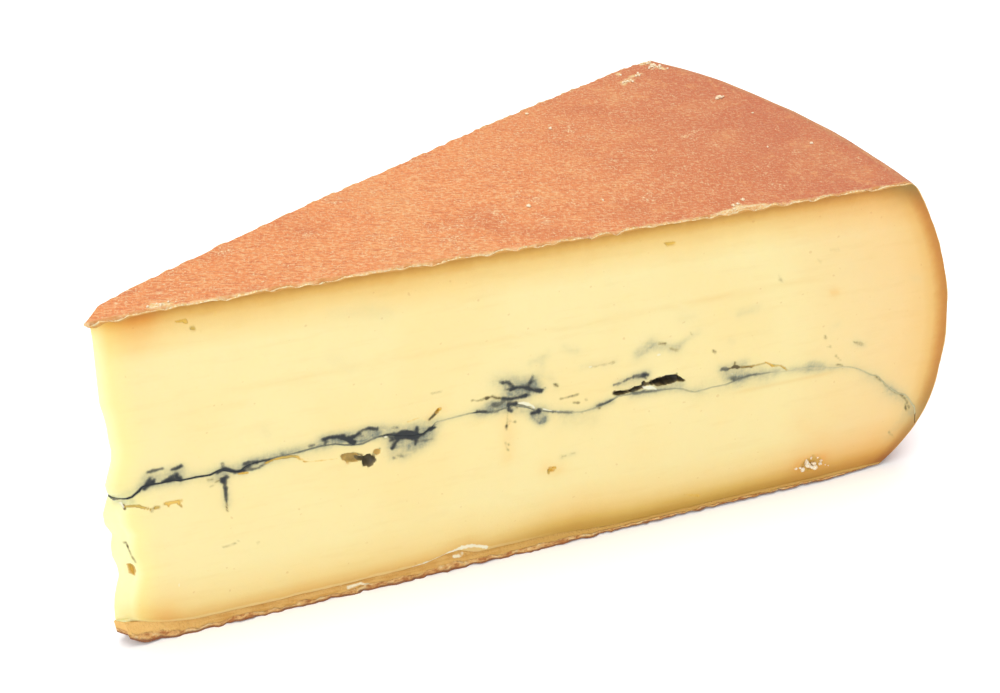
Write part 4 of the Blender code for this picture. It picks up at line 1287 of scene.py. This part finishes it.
class StageSettings(bpy.types.PropertyGroup):
    """Floor, light and camera."""

    floor_colour: colour_property("Floor", "Colour of the floor", (252, 252, 252))
    floor_size: FloatProperty(
        name="Floor size", description="Radius of the floor", default=4.0, min=0.5, unit="LENGTH"
    )
    sky: FloatProperty(name="Sky", description="Strength of the light from all round", default=0.62, min=0.0)
    key: FloatProperty(name="Key light", description="Power of the lamp at the left", default=9.2, min=0.0)
    top: FloatProperty(name="Top light", description="Power of the lamp above", default=14.5, min=0.0)


# ---------------------------------------------------------------- pieces


def tip_corner(x, y, z):
    """Round the corner between the tip's blunt end and the front cut: the same step along x and y."""
    lower = np.clip((UPPER_LAYER - z) / (UPPER_LAYER - LOWER_LAYER), 0, 1)
    inset = CORNER_INSET + (CORNER_INSET_LOW - CORNER_INSET) * lower
    from_corner = np.hypot(x - plan(0.0, 0.0, z)[0], y)
    return inset * np.exp(-from_corner / (2 * inset))


def stand_out(x, y, outward, on_front, on_back):
    """Move the corners on the cuts outward, square to each cut."""
    y = y - np.where(on_front, outward, 0.0)
    x = x - np.where(on_back, outward * math.sin(WEDGE_ANGLE), 0.0)
    return x, y + np.where(on_back, outward * math.cos(WEDGE_ANGLE), 0.0)


def line_field(reach, across):
    """How dark the ash line is along its course."""
    line = follow(LINE_DARKNESS, reach) * np.clip(1 - across / FRONT_REACH, 0, 1)
    return np.maximum(line, (0.5 + 0.5 * wander(14.0, reach, 3.0)) * np.minimum(1, across / FRONT_REACH))


def cut_fields(mesh, x, y, z, across, heel_depth, off_line, ash):
    """Work out, for each corner of the paste, what its material reads."""
    off_back = (1 - across) * slice_width(1 - heel_depth / wheel_radius(z), z)
    out = np.hypot(x, y)
    back_ink, back_clouds = back_strokes(ash.seed)
    near_front = np.minimum(y, FAR)
    ragged = 0.16 * wander(1.3, x, z, out) + 0.12 * wander(0.6, x, z, out)
    note(mesh, "top_depth", WHEEL_HEIGHT - z)
    note(mesh, "heel_depth", heel_depth)
    note(mesh, "base_height", z - ledge_height(x, across))
    note(mesh, "ledge", smooth_step(92, 66, x))
    # distance from the tip's blunt end, read by the paste's painted glow at the tip
    note(mesh, "tip_depth", np.hypot(np.maximum(x - plan(0, across, z)[0], 0.0), 0.6 * y))
    stain = 0.0
    for dark, height, deep, tall in HEEL_OLIVE:
        stain = stain + dark * np.exp(-((heel_depth / deep) ** 2) - ((z - height) / tall) ** 2)
    note(mesh, "stain", stain)
    drawn = stroke_field(INK, x, z, near_front, ragged - 0.05, INK_BLUR)
    drawn = np.maximum(drawn, stroke_field(back_ink, out, z, off_back, ragged - 0.05, INK_BLUR))
    line = line_field(out, across) * np.exp(-((off_line / LINE_HALO) ** 2))
    note(mesh, "ink", np.maximum(drawn, line))
    note(mesh, "olive", stroke_field(OLIVE, x, z, near_front, ragged - 0.04, OLIVE_BLUR))
    front_smoke = cloud_field((*SMOKE, *halo(INK)), x, z, near_front)
    back_smoke = cloud_field((*back_clouds, *halo(back_ink)), out, z, off_back)
    note(mesh, "smoke", np.maximum(front_smoke, back_smoke))
    note(mesh, "blush", cloud_field(BLUSH, x, z, near_front))
    note(mesh, "crack", stroke_field(CRACK, x, z, near_front, 0.7 * ragged, FINE_BLUR))
    # pale specks and painted highlights
    note(mesh, "pale", stroke_field(PALE_AND_GLINTS, x, z, near_front, 0.6 * ragged, FINE_BLUR))
    pits, pit_dark = opening_depth(x, z)
    pits = np.where(across == 0, pits, 0.0)
    note(mesh, "pit", pits)
    note(mesh, "pit_dark", pit_dark)
    marks = np.zeros_like(x)
    for height, slope, soft, (start, full), (fading, end) in KNIFE_MARKS:
        mark = np.exp(-(((z - height - slope * (x - 70)) / soft) ** 2))
        marks = marks + mark * smooth_step(start, full, x) * smooth_step(end, fading, x)
    note(mesh, "knife", marks * (0.5 + 0.5 * smooth_step(100, 125, x)))
    return pits


def make_paste(name, upper, thickness, ash):
    """One layer of paste, from the ash line up to the top rind or down to the bottom one."""
    rows = UPPER_ROWS if upper else LOWER_ROWS
    columns = CUT_STATIONS[-1][0]
    mesh, (column, row_across, row) = block(name, (columns, PASTE_ACROSS, rows[-1][0]))
    along = follow(CUT_STATIONS, column) / WHEEL_RADIUS * (1 - (thickness - HEEL_TUCK) / WHEEL_RADIUS)
    across = row_across / PASTE_ACROSS
    reach = along * WHEEL_RADIUS
    ash_at = ash_height(layer_reach(along), across)
    half = ash_half(layer_reach(along), across) - ASH_TUCK
    if upper:
        share = follow(rows, row) / rows[-1][1]
        under_rind = top_height(*plan(along, across, WHEEL_HEIGHT)) - thickness
        low, high = ash_at + half, under_rind + RIND_TUCK
    else:
        share = 1 - follow(rows, rows[-1][0] - row) / rows[-1][1]
        low, high = ledge_height(reach, across) - RIND_TUCK, ash_at - half
    z = low + (high - low) * share
    x, y = plan(along, across, z)
    heel_depth = (1 - along) * wheel_radius(z)
    pits = cut_fields(mesh, x, y, z, across, heel_depth, np.abs(z - ash_at) - half, ash)
    on_front = across == 0
    on_back = across == 1
    corner = np.where(on_front | (along == 0), tip_corner(x, y, z), 0.0)
    uneven = 0.07 * wander(11.0, x, z, 4.0) + 0.03 * wander(3.0, x, z, 8.0)
    off_lip = z - ledge_height(reach, across) - LIP_ABOVE
    lip = LIP_OUT * np.exp(-((off_lip / LIP_SOFT) ** 2)) * smooth_step(*LIP_END, x)
    outward = np.where(on_front | on_back, lip + uneven, 0.0) * np.clip((1 - along) * 12, 0, 1)
    outward = outward * np.clip(along * 60, 0, 1)
    x, y = stand_out(x, y, outward, on_front, on_back)
    shape(mesh, x + corner, y + pits + corner, z)
    return mesh


def rind_stations():
    """The rind's course over the top, down the heel and back under the wedge, outer and inner side."""
    top = [(step / RIND_TOP_STEPS, WHEEL_HEIGHT) for step in range(RIND_TOP_STEPS)]
    turns = [math.pi / 2 * step / RIND_EDGE_STEPS for step in range(RIND_EDGE_STEPS)]
    edge = [(1.0, WHEEL_HEIGHT - TOP_EDGE_RADIUS * (1 - math.cos(turn))) for turn in turns]
    lowest = WHEEL_HEIGHT - TOP_EDGE_RADIUS
    heel = [(1.0, lowest * (1 - step / RIND_HEEL_STEPS)) for step in range(RIND_HEEL_STEPS)]
    base = [(1 - step / RIND_BASE_STEPS, 0.0) for step in range(RIND_BASE_STEPS + 1)]
    zones = [ON_TOP] * len(top) + [ON_HEEL] * len(edge + heel) + [ON_BASE] * len(base)
    along, height = np.array(top + edge + heel + base).T
    return along, height, np.array(zones)


def rind_across(column, width):
    """Share of the way across for each column, closer together beside the cuts."""
    band = np.minimum(EDGE_OFFSETS[-1], 0.3 * width)
    last = len(EDGE_OFFSETS) - 1
    mirrored = np.minimum(column, RIND_ACROSS - column)
    offset = np.interp(mirrored, range(last + 1), EDGE_OFFSETS) * band / EDGE_OFFSETS[-1] / width
    inner = band / width + (1 - 2 * band / width) * (column - last) / (RIND_ACROSS - 2 * last)
    near = np.where(column <= RIND_ACROSS / 2, offset, 1 - offset)
    return np.where(mirrored <= last, near, inner)


def rind_inner(at, thickness):
    """The rind's inner side: under the top skin, inside the heel and on top of the bottom rind."""
    ledge = ledge_height(at.reach, at.across)
    under_top = top_height(*plan(at.along, at.across, at.height)) - thickness
    in_heel = ledge + at.height / WHEEL_HEIGHT * (WHEEL_HEIGHT - thickness - ledge)
    z = np.choose(at.zone, (under_top, in_heel, ledge))
    x, y = plan(at.along * (1 - thickness / WHEEL_RADIUS), at.across, z)
    return x, y, z


def rind_outer(at):
    """The rind's outer side, raised and ragged beside the cuts and rough on the heel."""
    x, y = plan(at.along, at.across, at.height)
    scallops = np.maximum(FRINGE_LOWEST, ripples(at.reach, FRINGE_RIPPLES))
    fringe = (FRINGE_RISE + FRINGE_WAVE * scallops) * np.exp(-((at.from_cut / FRAY_REACH) ** 2))
    fringe = fringe * np.where(at.across > 0.5, BACK_FRINGE, 1.0)
    at_edge = np.where(at.from_cut < SOLE_EDGE, 1 - at.from_cut / SOLE_EDGE, 0.0)
    z = np.choose(at.zone, (top_height(x, y) + fringe, at.height, bottom_height(at.reach, at_edge)))
    rough = 0.30 * wander(7.0, y, z, 0.0) + 0.10 * wander(2.2, y, z, 5.0)
    swell = np.where(at.zone == ON_HEEL, 1 + (rough - HEEL_DIP) / WHEEL_RADIUS, 1.0)
    return x * swell, y * swell, z


def rind_outward(at):
    """How far the rind's broken edge stands out of a cut."""
    channel = np.where(at.side > 0, 0.0, 50.0)
    lip = 0.16 + 0.42 * wander(3.1, at.reach, channel, 11.0)
    lip = lip + 0.34 * wander(1.2, at.reach, channel, at.out * 1.5)
    lip = lip + 0.15 * wander(0.6, at.reach, channel, at.out * 2.0)
    lip = lip * smooth_step(0.1, 0.7, at.out) * np.where((at.side < 0) & (at.reach < NEAT_REACH), 0.4, 1.0)
    crumble = 0.55 * wander(2.4, at.reach, channel, at.out * 3.0)
    crumble = crumble + 0.45 * wander(0.9, at.reach, channel, at.out * 4.0)
    crust = 1.15 * at.out - 0.25 + (0.12 + 0.7 * smooth_step(0.45, 0.85, at.out)) * crumble
    outward = np.choose(at.zone, (lip, lip * 0.35, crust))
    most = np.where((at.zone == ON_BASE) & (at.side > 0), MOST_OUT_LOW, MOST_OUT)
    fading = np.clip((1 - at.along) * 12 + np.where(at.zone == ON_HEEL, 0.6, 0.0), 0, 1)
    return np.clip(outward, MOST_IN, most) * fading


def rind_fields(mesh, at, x, z, plan_x, plan_y, thickness):
    """Work out, for each corner of the rind, what its material reads."""
    on_top, on_heel, on_base = at.zone == ON_TOP, at.zone == ON_HEEL, at.zone == ON_BASE
    from_tip = np.where(on_heel, FAR, at.reach)
    beside = at.from_cut * np.where((at.across > 0.5) & (at.reach < NEAT_REACH), 1.6, 1.0)
    note(mesh, "edge", np.minimum(np.minimum(beside, from_tip * 2.0), MARK_REACH))
    note(mesh, "sole", np.where(on_base, at.out, 1.0))
    note(mesh, "depth", np.where(on_base, 0.0, (1 - at.out) * thickness))
    note(mesh, "low", np.where(on_base, 1.0, np.where(on_heel, smooth_step(4.5, 1.5, z), 0.0)))
    bare = np.full_like(x, FAR)
    for half, *points in BARE:
        bare = np.minimum(bare, stroke_distance(points, half, half, plan_x, plan_y, 0.0))
    note(mesh, "bare", np.where(on_top, np.minimum(bare, MARK_REACH), MARK_REACH))
    glint = stroke_field(GLINT, x, z, np.where(at.side > 0, 0.0, FAR), 0.15 * wander(0.7, x, z, 0.0))
    note(mesh, "glint", np.where(on_base, glint, 0.0))
    note(mesh, "from_tip", at.reach)
    on_skin = (1 - at.along) * wheel_radius(WHEEL_HEIGHT)
    below_edge = np.maximum(0.0, WHEEL_HEIGHT - 0.6 * TOP_EDGE_RADIUS - z)
    note(mesh, "rim", np.choose(at.zone, (on_skin, below_edge, FAR)))


def make_rind(rind):
    """The rind: one skin over the top, the heel and the bottom, frayed at both cuts."""
    thickness = rind.thickness / MM
    along_at, height_at, zone_at = rind_stations()
    mesh, (station, column, layer) = block("rind", (len(along_at) - 1, RIND_ACROSS, RIND_LAYERS))
    along, height, zone = along_at[station], height_at[station], zone_at[station]
    width = slice_width(along, height)
    across = rind_across(column, width)
    from_cut = np.minimum(across, 1 - across) * width
    side = np.where(column == 0, 1.0, 0.0) - np.where(column == RIND_ACROSS, 1.0, 0.0)
    at = RindSpots(along, across, layer / RIND_LAYERS, height, along * WHEEL_RADIUS, zone, side, from_cut)
    inner = rind_inner(at, thickness)
    outer = rind_outer(at)
    x, y, z = (start + (end - start) * at.out for start, end in zip(inner, outer))
    droop = DROOP * np.maximum(0, 0.2 + 1.3 * wander(2.7, at.reach, side * 9.0))
    z = z - np.where((zone == ON_TOP) & (side != 0), droop, 0.0)
    x, y = stand_out(x, y, rind_outward(at), side > 0, side < 0)
    shape(mesh, x, y, np.clip(z, 0.0, RIND_CEILING))
    rind_fields(mesh, at, x, z, outer[0], outer[1], thickness)
    return mesh


def make_ash(ash):
    """The sheet of ash between the two layers of paste."""
    mesh, (column, row_across, level) = block("ash_seam", (CUT_STATIONS[-1][0], ASH_ACROSS, 1))
    along = follow(CUT_STATIONS, column) / WHEEL_RADIUS * (1 - ASH_END / WHEEL_RADIUS)
    across = row_across / ASH_ACROSS
    reach = layer_reach(along)
    z = ash_height(reach, across) + ash_half(reach, across) * (2 * level - 1)
    x, y = plan(along, across, z)
    corner = np.where((across == 0) | (along == 0), tip_corner(x, y, z), 0.0)
    x = x + corner
    y = y + corner + np.where(across == 1, ASH_PROUD, np.where(across == 0, -ASH_PROUD, 0.0))
    shape(mesh, x, y + np.where(across == 0, opening_depth(x, z)[0], 0.0), z)
    front = stroke_field(INK, x, z, np.minimum(y + ASH_PROUD, FAR))
    back_ink, _ = back_strokes(ash.seed)
    back = stroke_field(back_ink, np.hypot(x, y), z, (1 - across) * slice_width(along, z))
    note(mesh, "dark", np.maximum(line_field(reach, across), np.maximum(front, back)))
    return mesh


def make_crumbs(crumbs):
    """Crumbs lying on the rind and along its broken edges, and salt crystals in the pit near the heel."""
    draw = random.Random(crumbs.seed)
    usual = crumbs.size / MM
    bm = bmesh.new()
    salt = bm.verts.layers.float.new("salt")
    spots = [(x, y, WHEEL_HEIGHT, radius) for x, y, radius in CRUMB_SPOTS]
    for _ in range(crumbs.count):
        half, start, *_, end = draw.choice(BARE)
        share = draw.random()
        x = start[0] + (end[0] - start[0]) * share + draw.gauss(0, half)
        y = start[1] + (end[1] - start[1]) * share + draw.gauss(0, half * 0.6)
        inside = x * math.sin(WEDGE_ANGLE) - y * math.cos(WEDGE_ANGLE)
        if y > FRONT_CLEAR and inside > BACK_CLEAR and math.hypot(x, y) < TOP_REACH:
            spots.append((x, y, WHEEL_HEIGHT, usual * draw.uniform(0.4, 1.3)))
    for x, z, radius in SALT:
        deep = float(opening_depth(np.array([x]), np.array([z]))[0][0])
        spots.append((x, deep * SALT_SUNK, z, radius))
    for x, y, z, radius in spots:
        if z == WHEEL_HEIGHT:
            z = float(top_height(np.array([x]), np.array([y]))[0]) + radius * 0.35
        stretch = Matrix.Diagonal((1, draw.uniform(0.6, 1.0), draw.uniform(0.5, 0.9), 1))
        turn = Matrix.Rotation(draw.uniform(0, math.tau), 4, "Z")
        made = bmesh.ops.create_icosphere(
            bm, subdivisions=2, radius=radius, matrix=Matrix.Translation((x, y, z)) @ turn @ stretch
        )
        salty = z < WHEEL_HEIGHT / 2
        for vertex in made["verts"]:
            vertex[salt] = float(salty)
            lump = noise.noise(vertex.co / radius * 0.9)
            away = vertex.co - Vector((x, y, z))
            vertex.co += away * lump * 0.5
    mesh = bpy.data.meshes.new("crumbs")
    bm.to_mesh(mesh)
    bm.free()
    return mesh


# ---------------------------------------------------------------- operators


class CHEESE_OT_add_paste(bpy.types.Operator):
    """Add the two layers of paste"""

    bl_idname = "cheese.add_paste"
    bl_label = "Paste"

    def execute(self, context):
        scene = context.scene
        finish = paste_finish(scene.cheese_paste, scene.cheese_ash)
        thickness = scene.cheese_rind.thickness / MM
        for name, upper in (("paste_upper", True), ("paste_lower", False)):
            mesh = make_paste(name, upper, thickness, scene.cheese_ash)
            add_piece(mesh, finish, "paste_and_rind", "cheese")
        return {"FINISHED"}


class CHEESE_OT_add_ash(bpy.types.Operator):
    """Add the sheet of ash between the layers"""

    bl_idname = "cheese.add_ash"
    bl_label = "Ash line"

    def execute(self, context):
        ash = context.scene.cheese_ash
        add_piece(make_ash(ash), ash_finish(ash), "ash", "ash_layer")
        return {"FINISHED"}


class CHEESE_OT_add_rind(bpy.types.Operator):
    """Add the rind over the top, the heel and the bottom"""

    bl_idname = "cheese.add_rind"
    bl_label = "Rind"

    def execute(self, context):
        rind = context.scene.cheese_rind
        add_piece(make_rind(rind), rind_finish(rind), "paste_and_rind", "cheese")
        return {"FINISHED"}


class CHEESE_OT_add_crumbs(bpy.types.Operator):
    """Add loose crumbs and salt crystals"""

    bl_idname = "cheese.add_crumbs"
    bl_label = "Crumbs"

    def execute(self, context):
        add_piece(make_crumbs(context.scene.cheese_crumbs), crumb_finish(), "paste_and_rind", "cheese")
        return {"FINISHED"}


def add_light(name, place, size, power, colour):
    """A large soft lamp at a place, turned to the wedge."""
    lamp = bpy.data.lights.new(name, "AREA")
    lamp.shape = "SQUARE"
    lamp.size = size
    lamp.energy = power
    lamp.color = colour
    holder = bpy.data.objects.new(name, lamp)
    holder.location = place
    holder.rotation_euler = (Vector(LIT_SPOT) - Vector(place)).to_track_quat("-Z", "Y").to_euler()
    bpy.context.scene.collection.objects.link(holder)


def add_camera():
    """A camera a little above the wedge, in front of its tip."""
    ahead_x, ahead_y = math.sin(CAMERA_HEADING), math.cos(CAMERA_HEADING)
    level_share = math.cos(CAMERA_PITCH)
    forward = Vector((ahead_x * level_share, ahead_y * level_share, -math.sin(CAMERA_PITCH)))
    level = Vector((ahead_y, -ahead_x, 0))
    upright = level.cross(forward)
    right = level * math.cos(CAMERA_ROLL) + upright * math.sin(CAMERA_ROLL)
    up = upright * math.cos(CAMERA_ROLL) - level * math.sin(CAMERA_ROLL)
    data = bpy.data.cameras.new("camera")
    data.sensor_width = 36.0
    data.lens = CAMERA_LENS
    data.clip_start = 0.01
    data.clip_end = 20.0
    camera = bpy.data.objects.new("camera", data)
    turned = Matrix((right, up, -forward)).transposed().to_4x4()
    camera.matrix_world = Matrix.Translation(wheel_axis() + MM * Vector(CAMERA_PLACE)) @ turned
    bpy.context.scene.collection.objects.link(camera)
    bpy.context.scene.camera = camera


class CHEESE_OT_add_stage(bpy.types.Operator):
    """Add the floor, the lights and the camera"""

    bl_idname = "cheese.add_stage"
    bl_label = "Stage"

    def execute(self, context):
        stage = context.scene.cheese_stage
        bm = bmesh.new()
        bmesh.ops.create_circle(bm, cap_ends=True, segments=64, radius=stage.floor_size)
        mesh = bpy.data.meshes.new("floor")
        bm.to_mesh(mesh)
        bm.free()
        mesh.materials.append(floor_finish(stage))
        floor = bpy.data.objects.new("floor", mesh)
        context.scene.collection.objects.link(floor)
        world = bpy.data.worlds.new("studio")
        world.use_nodes = True
        world.node_tree.nodes["Background"].inputs["Color"].default_value = (1, 1, 1, 1)
        world.node_tree.nodes["Background"].inputs["Strength"].default_value = stage.sky
        context.scene.world = world
        add_light("key", KEY_PLACE, KEY_SIZE, stage.key, KEY_COLOUR)
        add_light("top", TOP_PLACE, TOP_SIZE, stage.top, TOP_COLOUR)
        context.scene.view_settings.view_transform = "Standard"
        add_camera()
        return {"FINISHED"}


class CHEESE_PT_panel(bpy.types.Panel):
    """Settings and steps, in the 3D view's sidebar"""

    bl_label = "Cheese Wedge"
    bl_idname = "CHEESE_PT_panel"
    bl_space_type = "VIEW_3D"
    bl_region_type = "UI"
    bl_category = "Cheese"

    def draw(self, context):
        for name, step in STEPS.items():
            group = getattr(context.scene, name, None)
            box = self.layout.box()
            for prop in group.bl_rna.properties if group else ():
                if prop.identifier not in {"rna_type", "name"}:
                    box.prop(group, prop.identifier)
            box.operator(step.bl_idname)


STEPS = {
    "cheese_paste": CHEESE_OT_add_paste,
    "cheese_ash": CHEESE_OT_add_ash,
    "cheese_rind": CHEESE_OT_add_rind,
    "cheese_crumbs": CHEESE_OT_add_crumbs,
    "cheese_stage": CHEESE_OT_add_stage,
}
GROUPS = {
    "cheese_paste": PasteSettings,
    "cheese_ash": AshSettings,
    "cheese_rind": RindSettings,
    "cheese_crumbs": CrumbSettings,
    "cheese_stage": StageSettings,
}
CLASSES = (*GROUPS.values(), *STEPS.values(), CHEESE_PT_panel)


def register():
    for kind in CLASSES:
        bpy.utils.register_class(kind)
    for name, kind in GROUPS.items():
        setattr(bpy.types.Scene, name, PointerProperty(type=kind))


def unregister():
    for name in GROUPS:
        delattr(bpy.types.Scene, name)
    for kind in reversed(CLASSES):
        bpy.utils.unregister_class(kind)


def main():
    register()
    bpy.ops.cheese.add_paste()
    bpy.ops.cheese.add_ash()
    bpy.ops.cheese.add_rind()
    bpy.ops.cheese.add_crumbs()
    bpy.ops.cheese.add_stage()


if __name__ == "__main__":
    main()
